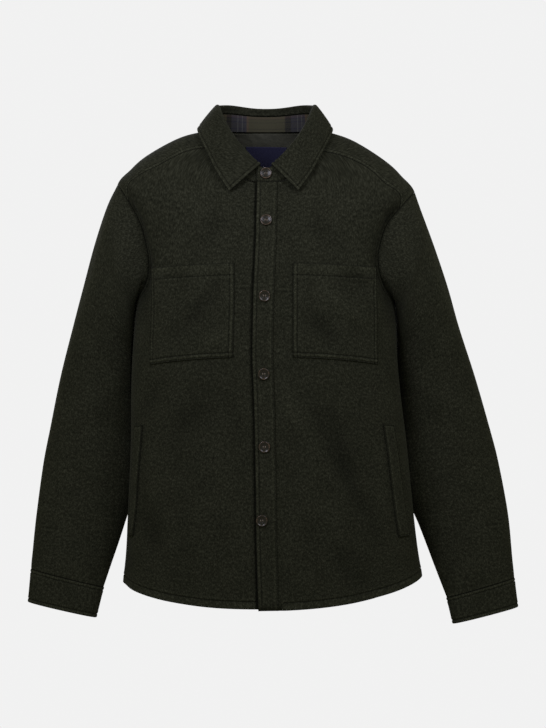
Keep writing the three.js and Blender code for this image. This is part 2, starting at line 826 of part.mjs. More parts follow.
function standPoint(angle, share) {
  const low = bodyPoint(angle, neckLevel);
  const high = ringPoint(standTop, angle);
  const rise = high.clone().sub(low).normalize();
  const fromFront = angle > 180 ? 360 - angle : Math.abs(angle);
  low.addScaledVector(rise, standGap + 0.5 * ramp(34, 14, fromFront));
  return low.lerp(high, share);
}

function standNormal(angle, share) {
  const round = standPoint(angle + 0.5, share).sub(standPoint(angle - 0.5, share));
  const upward = standPoint(angle, 1).sub(standPoint(angle, 0));
  return round.cross(upward).normalize();
}

function standOut(angle, share, out) {
  const lap = frontLapOut * ramp(34, 14, angle);
  return standPoint(angle, share).addScaledVector(standNormal(angle, share), out + lap);
}

const fallAngles = [
  4.5, 11, 18, 25, 32, 42, 53, 65, 77, 90, 105, 121, 140, 160,
  180, 200, 220, 239, 255, 270, 283, 295, 307, 318, 328, 335, 342, 349, 355.5,
];
const standAngles = [standLapStart, 0, ...fallAngles, 360, standLapEnd];

function standCloth(angles, shares, out, thickness) {
  const outer = shares.map((share) => angles.map((angle) => standOut(angle, share, out)));
  const inner = shares.map((share) => angles.map((angle) => standOut(angle, share, out - thickness)));
  return wall(outer, inner);
}

add("collar_stand", standCloth(standAngles, [0, 0.5, 1], 0, clothThickness), wool);
const facingAngles = standAngles.filter((angle) => angle >= 32 && angle <= 328);
add(
  "collar_stand_facing",
  standCloth(facingAngles, [0.02, 0.5, 0.98], -clothThickness - seamGap, liningThickness),
  check,
);

// Collar fall: it rises from the stand's top, rolls over and lies down on the shoulders.
// The outer edge of the fall, by angle round the neck.
const fallEdge = {
  left: table("angle x y z", [
    [4.5, 50.5, -99, -103.5],
    [30, 70, -82, -76],
    [50, 87, -59, -45],
    [70, 101, -30, -17],
    [90, 107, 2, 1],
    [120, 97, 44, 0],
    [150, 57, 72, -3],
    [180, 0, 80, -5],
  ]),
  right: table("angle x y z", [
    [4.5, -57.5, -99, -104.5],
    [30, -77, -81, -74],
    [50, -92, -59, -43],
    [70, -105, -30, -15],
    [90, -110, 2, 2],
    [120, -99, 44, 1],
    [150, -58, 72, -3],
    [180, 0, 80, -5],
  ]),
};
const fallThickness = 2.5;

function fallEdgePoint(name, turned) {
  const rows = fallEdge[name];
  let i = 0;
  while (i < rows.length - 2 && turned > rows[i + 1].angle) {
    i += 1;
  }
  const at = i + (turned - rows[i].angle) / (rows[i + 1].angle - rows[i].angle);
  return new THREE.Vector3(...["x", "y", "z"].map((axis) => column(rows, axis, at)));
}

function fallProfile(angle) {
  const name = angle <= 180 ? "left" : "right";
  const turned = angle <= 180 ? angle : 360 - angle;
  const crest = ringPoint(rollLine, angle);
  const out = new THREE.Vector3(Math.sin(angle * radians), -Math.cos(angle * radians), 0);
  const overLap = ramp(342, 350, angle);
  const atFront = ramp(30, 6, turned);
  const foot = standOut(angle, 1, -clothThickness - 0.4);
  foot.z += standGap + overLap;
  const edge = fallEdgePoint(name, turned);
  const inside = crest.clone();
  inside.z = Math.max(inside.z, foot.z + 3.2);
  const lift = (ramp(34, 14, angle) + overLap) * frontLapOut;
  inside.addScaledVector(out, lift);
  const over = inside.clone().addScaledVector(out, 3.4);
  over.z += 3 - 1.4 * atFront;
  const outside = inside.clone().addScaledVector(out, 7.6);
  outside.z += 0.6 - 0.4 * atFront;
  const rows = [foot, inside, over, outside];
  for (const share of [0.3, 0.65, 1]) {
    const point = outside.clone().lerp(edge, share);
    point.addScaledVector(out, 1.6 * Math.sin(share * Math.PI));
    rows.push(point);
  }
  return rows;
}

function gridInner(grid, thickness) {
  const rows = grid.length;
  const columns = grid[0].length;
  return grid.map((row, r) => row.map((point, c) => {
    const round = grid[r][Math.min(columns - 1, c + 1)].clone()
      .sub(grid[r][Math.max(0, c - 1)]);
    const along = grid[Math.min(rows - 1, r + 1)][c].clone().sub(grid[Math.max(0, r - 1)][c]);
    const normal = round.cross(along).normalize();
    return point.clone().addScaledVector(normal, thickness);
  }));
}

const fallColumns = fallAngles.map(fallProfile);
const fallGrid = fallColumns[0].map((_, r) => fallColumns.map((rows) => rows[r]));
const fallUnder = gridInner(fallGrid, fallThickness);
fallUnder[0] = fallGrid[0].map((point, i) => {
  const a = fallAngles[i] * radians;
  const level = point.z + 0.9;
  return new THREE.Vector3(
    point.x + fallThickness * Math.sin(a),
    point.y - fallThickness * Math.cos(a),
    level,
  );
});
add("collar_fall", wall(fallGrid, fallUnder), wool);

// Four hole buttons with a raised rim.
const wasm = await Module();
wasm.setup();

function solidOf(geometry) {
  const bare = geometry.clone();
  bare.deleteAttribute("normal");
  bare.deleteAttribute("uv");
  const merged = mergeVertices(bare, 1e-4);
  return new wasm.Manifold(new wasm.Mesh({
    numProp: 3,
    vertProperties: new Float32Array(merged.attributes.position.array),
    triVerts: new Uint32Array(merged.index.array),
  }));
}

function geometryOf(solid) {
  const mesh = solid.getMesh();
  const geometry = new THREE.BufferGeometry();
  geometry.setAttribute("position", new THREE.Float32BufferAttribute(mesh.vertProperties, 3));
  geometry.setIndex(Array.from(mesh.triVerts));
  geometry.computeVertexNormals();
  return geometry;
}

const buttonProfile = [
  [0, 0], [buttonRadius - 1.6, 0], [buttonRadius, 1.2], [buttonRadius - 0.3, 2.5],
  [buttonRadius - 1.3, buttonThickness], [buttonRadius - 2.6, 2.2], [0, 2],
].map(([x, y]) => new THREE.Vector2(x, y));
const buttonBody = new THREE.LatheGeometry(buttonProfile, 20);
let buttonSolid = solidOf(buttonBody);
const holeOffset = 1.7;
for (const [x, z] of [[1, 1], [1, -1], [-1, 1], [-1, -1]]) {
  const hole = new THREE.CylinderGeometry(0.9, 0.9, 8, 6);
  hole.translate(x * holeOffset, 1, z * holeOffset);
  buttonSolid = buttonSolid.subtract(solidOf(hole));
}
const buttonGeometry = geometryOf(buttonSolid);

function addButton(name, point, normal) {
  const mesh = add(name, buttonGeometry.clone(), horn);
  mesh.position.copy(point);
  mesh.quaternion.setFromUnitVectors(new THREE.Vector3(0, 1, 0), normal);
  return mesh;
}

// The first button sits on the stand's end, the others down the front band.
const buttonSeat = 0.5;
const standButtonShare = 0.61;
addButton(
  "button_1",
  standOut(0, standButtonShare, buttonSeat),
  standNormal(0, standButtonShare),
);
const bandOut = frontLapOut + seamGap + clothThickness;
buttonPlaces.forEach(({ x, z }, i) => {
  const level = levelAt(x, z);
  const angle = angleAtX(x, level);
  addButton(`button_${i + 2}`, bodyOut(angle, level, bandOut + buttonSeat), bodyNormal(angle, level));
});

export default group;
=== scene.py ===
import math

import bpy
import numpy as np
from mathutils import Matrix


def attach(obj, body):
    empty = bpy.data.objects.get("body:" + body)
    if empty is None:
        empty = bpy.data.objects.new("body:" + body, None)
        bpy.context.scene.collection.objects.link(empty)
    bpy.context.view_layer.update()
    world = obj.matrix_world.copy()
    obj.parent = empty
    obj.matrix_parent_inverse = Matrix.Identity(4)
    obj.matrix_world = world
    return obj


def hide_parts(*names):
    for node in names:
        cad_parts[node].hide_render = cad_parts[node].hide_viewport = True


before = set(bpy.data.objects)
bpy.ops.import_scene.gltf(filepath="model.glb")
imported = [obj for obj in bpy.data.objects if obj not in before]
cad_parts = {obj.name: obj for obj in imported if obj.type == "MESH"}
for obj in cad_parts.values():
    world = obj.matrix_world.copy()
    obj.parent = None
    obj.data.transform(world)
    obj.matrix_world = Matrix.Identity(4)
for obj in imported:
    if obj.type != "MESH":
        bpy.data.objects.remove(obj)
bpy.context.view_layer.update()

# Camera, light and surround
# The camera stands level in front of the garment, four metres away, as the photograph was taken.
# Two soft lamps above the chest give the cloth its form, and the pale surround fills the rest.
VIEW_DISTANCE = 4.0
VIEW_CENTRE_X = 0.011
VIEW_CENTRE_Z = -0.373
VIEW_WIDTH = 0.8698
SENSOR_WIDTH = 36.0
SURROUND = (0.882, 0.882, 0.882, 1)
SOFT_LIGHT = 0.5
SOFT_COLOUR = (0.9, 0.9, 0.64, 1)
LAMP_COLOUR = (0.98, 0.98, 1.16)

camera_data = bpy.data.cameras.new("camera")
camera_data.sensor_fit = "HORIZONTAL"
camera_data.sensor_width = SENSOR_WIDTH
camera_data.lens = SENSOR_WIDTH * VIEW_DISTANCE / VIEW_WIDTH
camera = bpy.data.objects.new("camera", camera_data)
camera.location = (VIEW_CENTRE_X, -VIEW_DISTANCE, VIEW_CENTRE_Z)
camera.rotation_euler = (math.radians(90), 0, 0)
bpy.context.scene.collection.objects.link(camera)
bpy.context.scene.camera = camera
bpy.context.scene.view_settings.view_transform = "Standard"

world = bpy.data.worlds.new("surround")
world.use_nodes = True
nodes, links = world.node_tree.nodes, world.node_tree.links
behind = nodes["Background"]
behind.inputs["Color"].default_value = SURROUND
around = nodes.new("ShaderNodeBackground")
around.inputs["Color"].default_value = SOFT_COLOUR
around.inputs["Strength"].default_value = SOFT_LIGHT
which = nodes.new("ShaderNodeLightPath")
join = nodes.new("ShaderNodeMixShader")
links.new(which.outputs["Is Camera Ray"], join.inputs["Fac"])
links.new(around.outputs["Background"], join.inputs[1])
links.new(behind.outputs["Background"], join.inputs[2])
links.new(join.outputs["Shader"], nodes["World Output"].inputs["Surface"])
bpy.context.scene.world = world


def soft_lamp(name, place, aim, size, power):
    """A square lamp of the given size in metres, turned so that it faces the aim point."""
    data = bpy.data.lights.new(name, "AREA")
    data.size = size
    data.energy = power
    data.color = LAMP_COLOUR
    lamp = bpy.data.objects.new(name, data)
    away = np.array(place) - np.array(aim)
    lamp.location = place
    lamp.rotation_euler = (
        math.acos(away[2] / np.linalg.norm(away)),
        0,
        math.atan2(away[1], away[0]) + math.pi / 2,
    )
    bpy.context.scene.collection.objects.link(lamp)


soft_lamp("key_lamp", place=(-0.55, -1.1, 0.35), aim=(0, 0, -0.3), size=0.5, power=8.6)
soft_lamp("fill_lamp", place=(0.7, -1.1, 0.4), aim=(0, 0, -0.3), size=0.6, power=7)
soft_lamp("back_lamp", place=(-0.6, 2.2, 1.4), aim=(0, 0, -0.35), size=1.4, power=30)

FLOOR_HEIGHT = -1.3
FLOOR_RADIUS = 2.2
FLOOR_SIDES = 96
FLOOR_COLOUR = (0.4, 0.4, 0.34, 1)
floor_angle = np.linspace(0, 2 * np.pi, FLOOR_SIDES, endpoint=False)
floor_rim = np.stack([
    FLOOR_RADIUS * np.cos(floor_angle),
    FLOOR_RADIUS * np.sin(floor_angle),
    np.full(FLOOR_SIDES, FLOOR_HEIGHT),
], axis=1)
floor_mesh = bpy.data.meshes.new("floor")
floor_mesh.from_pydata(floor_rim.tolist(), [], [list(range(FLOOR_SIDES))])
floor = bpy.data.objects.new("floor", floor_mesh)
bpy.context.scene.collection.objects.link(floor)
floor_look = bpy.data.materials.new("pale_floor")
floor_look.use_nodes = True
floor_shader = floor_look.node_tree.nodes["Principled BSDF"]
floor_shader.inputs["Base Color"].default_value = FLOOR_COLOUR
floor_shader.inputs["Roughness"].default_value = 0.9
floor_mesh.materials.append(floor_look)

# Wool cloth
# Felted wool twill, very dark olive, spun from lighter and darker fibres and brushed to a short nap.
# All the outer pieces are cut from it, so its material comes before them.
WOOL_DARK = (0.0046, 0.0049, 0.0030, 1)
WOOL_MIDDLE = (0.0124, 0.0130, 0.0084, 1)
WOOL_LIGHT = (0.0300, 0.0310, 0.0215, 1)
FIBRE_SCALE = 520
FIBRE_SHARE = 0.52
FLECK_SCALE = 210
FLECK_SHARE = 0.36
CLOUD_SCALE = 28
CLOUD_SHARE = 0.12
NAP_SCALE = 1100
RIB_SCALE = 150
RIB_SHARE = 0.3
WOOL_DEPTH = 0.0003


def new_material(name, roughness):
    """An empty material with its node tree, its surface shader and its pattern coordinates."""
    material = bpy.data.materials.new(name)
    material.use_nodes = True
    tree = material.node_tree
    shader = tree.nodes["Principled BSDF"]
    shader.inputs["Roughness"].default_value = roughness
    shader.inputs["Specular IOR Level"].default_value = 0.06
    pattern = tree.nodes.new("ShaderNodeUVMap")
    pattern.uv_map = "cloth"
    return material, tree, shader, pattern.outputs["UV"]


def noise(tree, place, scale, detail=2.0, stretch=(1, 1, 1)):
    """Cloudy noise with the given number of clouds a metre, stretched along an axis."""
    mapping = tree.nodes.new("ShaderNodeMapping")
    mapping.inputs["Scale"].default_value = stretch
    tree.links.new(place, mapping.inputs["Vector"])
    node = tree.nodes.new("ShaderNodeTexNoise")
    node.inputs["Scale"].default_value = scale
    node.inputs["Detail"].default_value = detail
    tree.links.new(mapping.outputs["Vector"], node.inputs["Vector"])
    return node.outputs["Fac"]


def combine(tree, kind, first, second):
    """A math node on two values, each an output or a number."""
    node = tree.nodes.new("ShaderNodeMath")
    node.operation = kind
    for socket, value in zip(node.inputs, (first, second)):
        if isinstance(value, (int, float)):
            socket.default_value = value
        else:
            tree.links.new(value, socket)
    return node.outputs["Value"]


def ramp_colours(tree, value, stops):
    """A colour for each value, blended between (position, colour) stops."""
    node = tree.nodes.new("ShaderNodeValToRGB")
    elements = node.color_ramp.elements
    while len(elements) < len(stops):
        elements.new(0.5)
    for element, (position, colour) in zip(elements, stops):
        element.position = position
        element.color = colour
    tree.links.new(value, node.inputs["Fac"])
    return node.outputs["Color"]


def raise_surface(tree, shader, height, distance):
    """A bump of the given depth in metres."""
    bump = tree.nodes.new("ShaderNodeBump")
    bump.inputs["Distance"].default_value = distance
    bump.inputs["Strength"].default_value = 1.0
    tree.links.new(height, bump.inputs["Height"])
    tree.links.new(bump.outputs["Normal"], shader.inputs["Normal"])


def by_painted_shading(tree, colour):
    """A colour times one plus the painted light and shade that the points of a piece carry, at least a
    quarter.
    """
    painted_shading = tree.nodes.new("ShaderNodeAttribute")
    painted_shading.attribute_name = "painted_shading"
    share = combine(tree, "ADD", painted_shading.outputs["Fac"], 1.0)
    shaded_colour = tree.nodes.new("ShaderNodeVectorMath")
    shaded_colour.operation = "SCALE"
    tree.links.new(colour, shaded_colour.inputs[0])
    tree.links.new(combine(tree, "MAXIMUM", share, 0.25), shaded_colour.inputs["Scale"])
    return shaded_colour.outputs["Vector"]


def wool_material(name, shade):
    """Heathered wool: fibres and flecks of three olive tones, with a twill rib and nap.

    The painted shading that every piece carries puts painted shade in grooves, creases and at
    edges, and painted light on ridges. The given factor brightens the tones: a factor above one
    is painted light.
    """
    material, tree, shader, place = new_material(name, 0.94)
    shader.inputs["Sheen Weight"].default_value = 0.03
    shader.inputs["Sheen Roughness"].default_value = 0.5
    shader.inputs["Sheen Tint"].default_value = (0.62, 0.64, 0.52, 1)
    fibre = noise(tree, place, FIBRE_SCALE, 2.0, (1, 0.6, 1))
    fleck = noise(tree, place, FLECK_SCALE)
    cloud = noise(tree, place, CLOUD_SCALE)
    value = combine(tree, "MULTIPLY", fibre, FIBRE_SHARE)
    value = combine(tree, "ADD", value, combine(tree, "MULTIPLY", fleck, FLECK_SHARE))
    value = combine(tree, "ADD", value, combine(tree, "MULTIPLY", cloud, CLOUD_SHARE))
    tones = [tuple(shade * c for c in tone[:3]) + (1,) for tone in (WOOL_DARK, WOOL_MIDDLE, WOOL_LIGHT)]
    colour = ramp_colours(tree, value, [(0.34, tones[0]), (0.5, tones[1]), (0.68, tones[2])])
    tree.links.new(by_painted_shading(tree, colour), shader.inputs["Base Color"])
    rib = tree.nodes.new("ShaderNodeTexWave")
    rib.wave_type = "BANDS"
    rib.bands_direction = "DIAGONAL"
    rib.inputs["Scale"].default_value = RIB_SCALE
    rib.inputs["Distortion"].default_value = 2.5
    rib.inputs["Detail"].default_value = 1.0
    tree.links.new(place, rib.inputs["Vector"])
    height = combine(tree, "ADD", combine(tree, "MULTIPLY", rib.outputs["Fac"], RIB_SHARE), fleck)
    height = combine(tree, "ADD", height, noise(tree, place, NAP_SCALE))
    raise_surface(tree, shader, height, WOOL_DEPTH)
    return material


wool = wool_material("wool", 1.0)
# The sleeves and cuffs use a copy of the wool five percent brighter: painted light.
sleeve_wool_painted_lighter = wool_material("sleeve_wool_painted_lighter", 1.05)

# Shape of the body cloth
# The body is a hollow of rings from hem to neck, each a squarish oval that dips from side to centre.
# Every panel, pocket and band lies on this one surface, moved out by its own distance. Millimetres.
MM = 0.001
CLOTH = 2.0
SEAM_GAP = 0.3
LAP_OUT = CLOTH + 2 * SEAM_GAP
BODY_SQUARENESS = 2.3
RING_COLUMNS = "z_front z_side z_back half_width front back dip tilt centre".split()
BODY_RINGS = np.array([
    [-753, -714, -760, 239, 113, 108, 1.8, 5.5, 10],
    [-689, -670, -690, 233, 114, 108, 2, 2, 9],
    [-613, -610, -613, 228, 116, 109, 2, 0, 7],
    [-492, -500, -494, 220, 118, 110, 2, 0, 4],
    [-412, -428, -414, 215, 121, 112, 2, 0, 0],
    [-347, -366, -348, 211, 125, 115, 2, 0, -2],
    [-290, -306, -290, 208, 128, 117, 2, 0, -1],
    [-254, -276, -250, 206, 128, 118, 2, 0, -1],
    [-210, -226, -200, 209, 125, 117, 2, 0, -1],
    [-170, -165, -142, 221, 118, 112, 2, -3, -1],
    [-138, -101, -84, 238, 109, 99, 2, -6, 0],
    [-120, -67, -51, 214, 100, 89, 1.8, -5, 0],
    [-108, -42, -28, 185, 94, 81, 1.6, -4, 0],
    [-99, -14, -10, 136, 89, 73, 1.45, -2, 0],
    [-91, 0, 1, 88, 86, 68, 1.3, 0, 0],
], float)
RINGS = dict(zip(RING_COLUMNS, BODY_RINGS.T))
NECK_LEVEL = len(BODY_RINGS) - 1
BACK_YOKE_LEVEL = 9.45
ARMHOLE_LEVEL = 8.6
ARMHOLE_HALF_HEIGHT = 1.55
ARMPIT_LEVEL = ARMHOLE_LEVEL - ARMHOLE_HALF_HEIGHT
ARMHOLE_LOW, ARMHOLE_HIGH = 2.0, 2.6
BACK_REACH = 30
SIDES = {
    "left": {"sign": 1, "front_reach": 32, "yoke_angle": 64, "bow": 4.6, "bow_level": 11.2},
    "right": {"sign": -1, "front_reach": 27, "yoke_angle": 68, "bow": 4.2, "bow_level": 11.9},
}
BOW_SPREAD = 0.85
BOW_START = 0.13
VALLEY_DEPTH = 9
VALLEY_SPREAD = 0.24

# Long hollows: angle round the body, top level, spread in degrees and depth.
HOLLOWS = [
    (38, 5.5, 9, 2.5), (-32, 6, 8, 2), (-78, 5, 9, 3), (100, 6, 9, 3), (128, 7.5, 10, 5),
    (158, 8, 9, 4), (-163, 8, 8, 4.5), (-134, 7, 11, 5), (-102, 6, 9, 3),
]
# Soft creases: from x, z to x, z, half width, depth (negative for a ridge) and sideways bend.
FRONT_CREASES = [
    (-62, -228, -158, -352, 13, 5, 6), (-112, -352, -50, -322, 12, -3, 0),
    (70, -247, 166, -319, 12, -4, -3), (54, -290, 118, -352, 14, 4.5, 4),
    (118, -228, 174, -268, 12, 3.5, 0), (54, -382, 182, -653, 13, 5, -8),
    (86, -414, 134, -573, 10, 4.5, 6), (22, -390, 54, -494, 12, -3.5, 0),
    (-73, -414, -41, -494, 14, 3, 5), (-60, -372, -178, -520, 22, 3.5, 12),
    (-200, -560, -165, -700, 16, 4.5, 0), (96, -640, 160, -735, 16, 3.5, -6),
    (-60, -120, -118, -212, 20, 3, 5), (60, -125, 130, -205, 18, 3, -6),
    (184, -110, 206, -230, 12, 4, 4), (176, -190, 196, -330, 10, 4, 4),
    (-176, -180, -192, -330, 10, 4, -4), (-150, -390, -200, -470, 12, 3.5, -4),
]
BACK_CREASES = [
    (-150, -230, -40, -420, 18, 5.1, 8), (156, -236, 52, -400, 16, 4.8, -9),
    (-186, -300, -120, -540, 20, 5.4, 7), (182, -330, 118, -600, 18, 4.8, -8),
    (-20, -430, -64, -690, 22, 4.4, 9), (46, -470, 96, -720, 20, 4.1, -7),
    (-96, -150, -150, -250, 14, 3.4, 5), (104, -150, 150, -262, 13, 3.2, -5),
]


def curve(values, at):
    """Smooth curve through evenly numbered values, read at numbers that need not be whole.

    Between two values it is the cubic whose slopes are half the rise across each value.
    """
    at = np.asarray(at, float)
    last = len(values) - 1
    i = np.clip(np.floor(at).astype(int), 0, last - 1)
    shape = at.shape + (1,) * (values.ndim - 1)
    t = (at - i).reshape(shape)
    b = values[i]
    c = values[i + 1]
    a = np.where((i > 0).reshape(shape), values[np.maximum(i - 1, 0)], 2 * b - c)
    d = np.where((i < last - 1).reshape(shape), values[np.minimum(i + 2, last)], 2 * c - b)
    slope_b = (c - a) / 2
    slope_c = (d - b) / 2
    rise = 3 * t ** 2 - 2 * t ** 3
    return (1 - rise) * b + rise * c + (t ** 3 - 2 * t ** 2 + t) * slope_b + (t ** 3 - t ** 2) * slope_c


def ramp(start, end, value):
    """0 before start, 1 after end, and a smooth step between."""
    t = np.clip((value - start) / (end - start), 0, 1)
    return t * t * (3 - 2 * t)


def signed_power(value, exponent):
    """The power of a value's size, with the value's own sign."""
    return np.sign(value) * np.abs(value) ** exponent


def turned_angle(angle):
    """The same angle in degrees, between -180 and 180."""
    return (angle + 180) % 360 - 180


def sink(angle, level):
    """How far the cloth sinks: a valley round each armhole, and bell-shaped long hollows."""
    turned = turned_angle(angle)
    off = np.abs(turned) - 90
    front = np.where(turned >= 0, SIDES["left"]["front_reach"], SIDES["right"]["front_reach"])
    across = np.abs(off) / np.where(off < 0, front, BACK_REACH)
    up = np.abs(level - ARMHOLE_LEVEL) / ARMHOLE_HALF_HEIGHT
    square = np.where(level < ARMHOLE_LEVEL, ARMHOLE_LOW, ARMHOLE_HIGH)
    ratio = (across ** square + up ** square) ** (1 / square)
    near = np.minimum(1, across)
    depth = VALLEY_DEPTH * np.exp(-((ratio - 1) / VALLEY_SPREAD) ** 2) * near * near
    for middle, top, spread, most in HOLLOWS:
        away = (turned - middle) / spread
        depth = depth + most * np.exp(-away * away) * ramp(top, top - 4, level)
    return depth


def body_point(angle, level):
    """Outside of the body cloth: a squarish oval at each level, less what the cloth sinks."""
    a = np.radians(angle)
    wide = signed_power(np.sin(a), 2 / BODY_SQUARENESS)
    deep = signed_power(np.cos(a), 2 / BODY_SQUARENESS)
    ring = {name: curve(values, level) for name, values in RINGS.items()}
    in_front = deep >= 0
    end = np.where(in_front, ring["z_front"], ring["z_back"])
    depth = np.where(in_front, ring["front"], ring["back"])
    inwards = sink(angle, level)
    x = ring["centre"] + ring["half_width"] * wide - inwards * np.sin(a)
    y = -depth * deep + inwards * np.cos(a)
    z = ring["z_side"] + (end - ring["z_side"]) * np.abs(deep) ** ring["dip"] + ring["tilt"] * np.sin(a)
    return np.stack(np.broadcast_arrays(x, y, z), axis=-1)


def unit(vectors):
    """Vectors of length one with the same directions."""
    return vectors / np.linalg.norm(vectors, axis=-1, keepdims=True)


def body_normal(angle, level):
    """The way out of the cloth: the step round the ring, crossed with the step up."""
    low = np.maximum(0, level - 0.02)
    high = np.minimum(NECK_LEVEL, level + 0.02)
    around = body_point(angle + 0.4, level) - body_point(angle - 0.4, level)
    return unit(np.cross(around, body_point(angle, high) - body_point(angle, low)))


def crease_depth(point, rows):
    """Depth of straight soft troughs that swell and fade along their length, seen flat on."""
    total = np.zeros(point.shape[:-1])
    for x1, z1, x2, z2, width, depth, bend in rows:
        length = math.hypot(x2 - x1, z2 - z1)
        x = point[..., 0] - x1
        z = point[..., 2] - z1
        along = (x * (x2 - x1) + z * (z2 - z1)) / length ** 2
        swell = np.sin(np.pi * np.clip(along, 0, 1))
        across = (x * (z2 - z1) - z * (x2 - x1)) / length + bend * swell
        total += depth * swell ** 1.5 * np.exp(-(across / width) ** 2)
    return total


def body_out(angle, level, out):
    """Points a distance out from the creased body cloth, with the way out at each."""
    point = body_point(angle, level)
    normal = body_normal(angle, level)
    in_front = np.cos(np.radians(angle)) >= 0
    crease = np.where(in_front, crease_depth(point, FRONT_CREASES), crease_depth(point, BACK_CREASES))
    distance = np.broadcast_to(out, crease.shape) - crease
    return point + normal * distance[..., None], normal


def angle_at_x(x, level):
    """The angle at which a ring passes a given x on the front."""
    share = (x - curve(RINGS["centre"], level)) / curve(RINGS["half_width"], level)
    return np.degrees(np.arcsin(signed_power(share, BODY_SQUARENESS / 2)))


def armhole_offset(level, reach):
    """Degrees from an armhole's middle to its seam at a level: the seam is a squarish oval."""
    square = np.where(level < ARMHOLE_LEVEL, ARMHOLE_LOW, ARMHOLE_HIGH)
    up = np.abs(level - ARMHOLE_LEVEL) / ARMHOLE_HALF_HEIGHT
    return reach * np.maximum(0, 1 - up ** square) ** (1 / square)


def armhole_top(offset, reach):
    """Upper level at which the armhole seam passes an offset in degrees."""
    across = np.abs(offset) / reach
    up = np.maximum(0, 1 - across ** ARMHOLE_HIGH) ** (1 / ARMHOLE_HIGH)
    return ARMHOLE_LEVEL + ARMHOLE_HALF_HEIGHT * up


for side in SIDES.values():
    side["seam_level"] = float(armhole_top(90 - side["yoke_angle"], side["front_reach"]))
    side["back_angle"] = 90 + float(armhole_offset(np.array(BACK_YOKE_LEVEL), BACK_REACH))


def yoke_bow(bow, bow_level, level, share):
    """Degrees that the front yoke seam bows forward: bell shaped, nothing at the armhole."""
    return bow * np.exp(-((level - bow_level) / BOW_SPREAD) ** 2) * ramp(0, BOW_START, share)


def lengths(points, axis):
    """Distance run along the rows (axis 1) or up the columns (axis 0) of a grid of points."""
    steps = np.linalg.norm(np.diff(points, axis=axis), axis=-1)
    start = np.zeros_like(np.take(steps, [0], axis=axis))
    return np.concatenate([start, np.cumsum(steps, axis=axis)], axis=axis)


def edge_lines(roll, stitches):
    """Distances from an edge to grid lines: close over the rolled edge and beside each stitch row."""
    over = roll * (1 - np.cos(np.radians([0, 20, 40, 60, 78, 90])))
    beside = np.array([-1.8, -1.1, -0.55, 0, 0.55, 1.1, 1.8])
    lines = np.concatenate([over, [roll + 0.9]] + [row + beside for row in stitches])
    lines = np.unique(lines[lines >= 0].round(2))
    keep = np.concatenate([[True], np.diff(lines) > 0.04])
    return lines[keep]


def spread_out(total, near, far, pitch):
    """Distances across a piece, a row for each total: fixed ones near both edges, even between."""
    count = int((total.max() - near[-1] - far[-1]) / pitch) + 1
    share = np.linspace(0, 1, count + 1)[1:-1]
    middle = near[-1] + (total[:, None] - near[-1] - far[-1]) * share
    start = np.broadcast_to(near, (len(total), len(near)))
    return np.hstack([start, middle, total[:, None] - far[::-1]])


def read_back(at, table, values):
    """For each row, the values at which a rising table reaches the distances."""
    return np.array([np.interp(*row) for row in zip(at, table, values)])


def body_grid(levels, first, last, near, far, pitch):
    """Angles of a grid on the body between two limits, spaced by their distance along the cloth."""
    share = np.linspace(0, 1, 181)
    angles = first[:, None] + (last - first)[:, None] * share
    table = lengths(body_point(angles, levels[:, None]), 1)
    at = spread_out(table[:, -1], near, far, pitch)
    angle = read_back(at, table, angles)
    return angle, np.repeat(levels[:, None], angle.shape[1], axis=1)


def levels_along(limit, low, high, corners, near, far, pitch):
    """Levels at even distances along a limit of a panel, with a level on each of its corners."""
    level = np.linspace(low, high, 8001)
    length = lengths(body_point(limit(level), level)[None], 1)[0]
    at = spread_out(length[-1:], near, far, pitch)[0]
    levels = np.interp(at, length, level)
    for corner in corners:
        levels[np.abs(levels - corner).argmin()] = corner
    return levels


def hem_rows(angle, level, lines, joins=4):
    """Rows at fixed distances above the hem, and a few that lead on to the levels over them."""
    tall = level[0] + np.linspace(0, 1.1, 90)[:, None]
    climb = lengths(body_point(angle[0], tall), 0)
    rows = read_back(np.broadcast_to(lines, (len(angle[0]), len(lines))), climb.T, tall.T).T
    first = int((level.min(axis=1) > rows.max() + 0.03).argmax())
    lead = np.linspace(0, 1, joins + 2)[1:-1, None]
    rows = np.vstack([rows, rows[-1] + (level[first] - rows[-1]) * lead])
    share = (rows - level[0]) / (level[first] - level[0])
    turned = angle[0] + (angle[first] - angle[0]) * share
    return np.vstack([turned, angle[first:]]), np.vstack([rows, level[first:]])


def make_mesh(name, points, faces, material, uv=None, painted_shading=None):
    """A smooth mesh from points in millimetres and faces, with the cloth's grain in metres as UVs."""
    mesh = bpy.data.meshes.new(name)
    mesh.from_pydata((points * MM).tolist(), [], faces.tolist())
    mesh.polygons.foreach_set("use_smooth", np.ones(len(faces), bool))
    if uv is not None:
        layer = mesh.uv_layers.new(name="cloth")
        layer.data.foreach_set("uv", (uv * MM).astype(np.float32).ravel())
    # Painted light and shade for each point, which the materials multiply into their colour.
    if painted_shading is not None:
        layer = mesh.attributes.new("painted_shading", "FLOAT", "POINT")
        layer.data.foreach_set("value", painted_shading.astype(np.float32))
    mesh.materials.append(material)
    piece = bpy.data.objects.new(name, mesh)
    bpy.context.scene.collection.objects.link(piece)
    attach(piece, "root")
    return piece


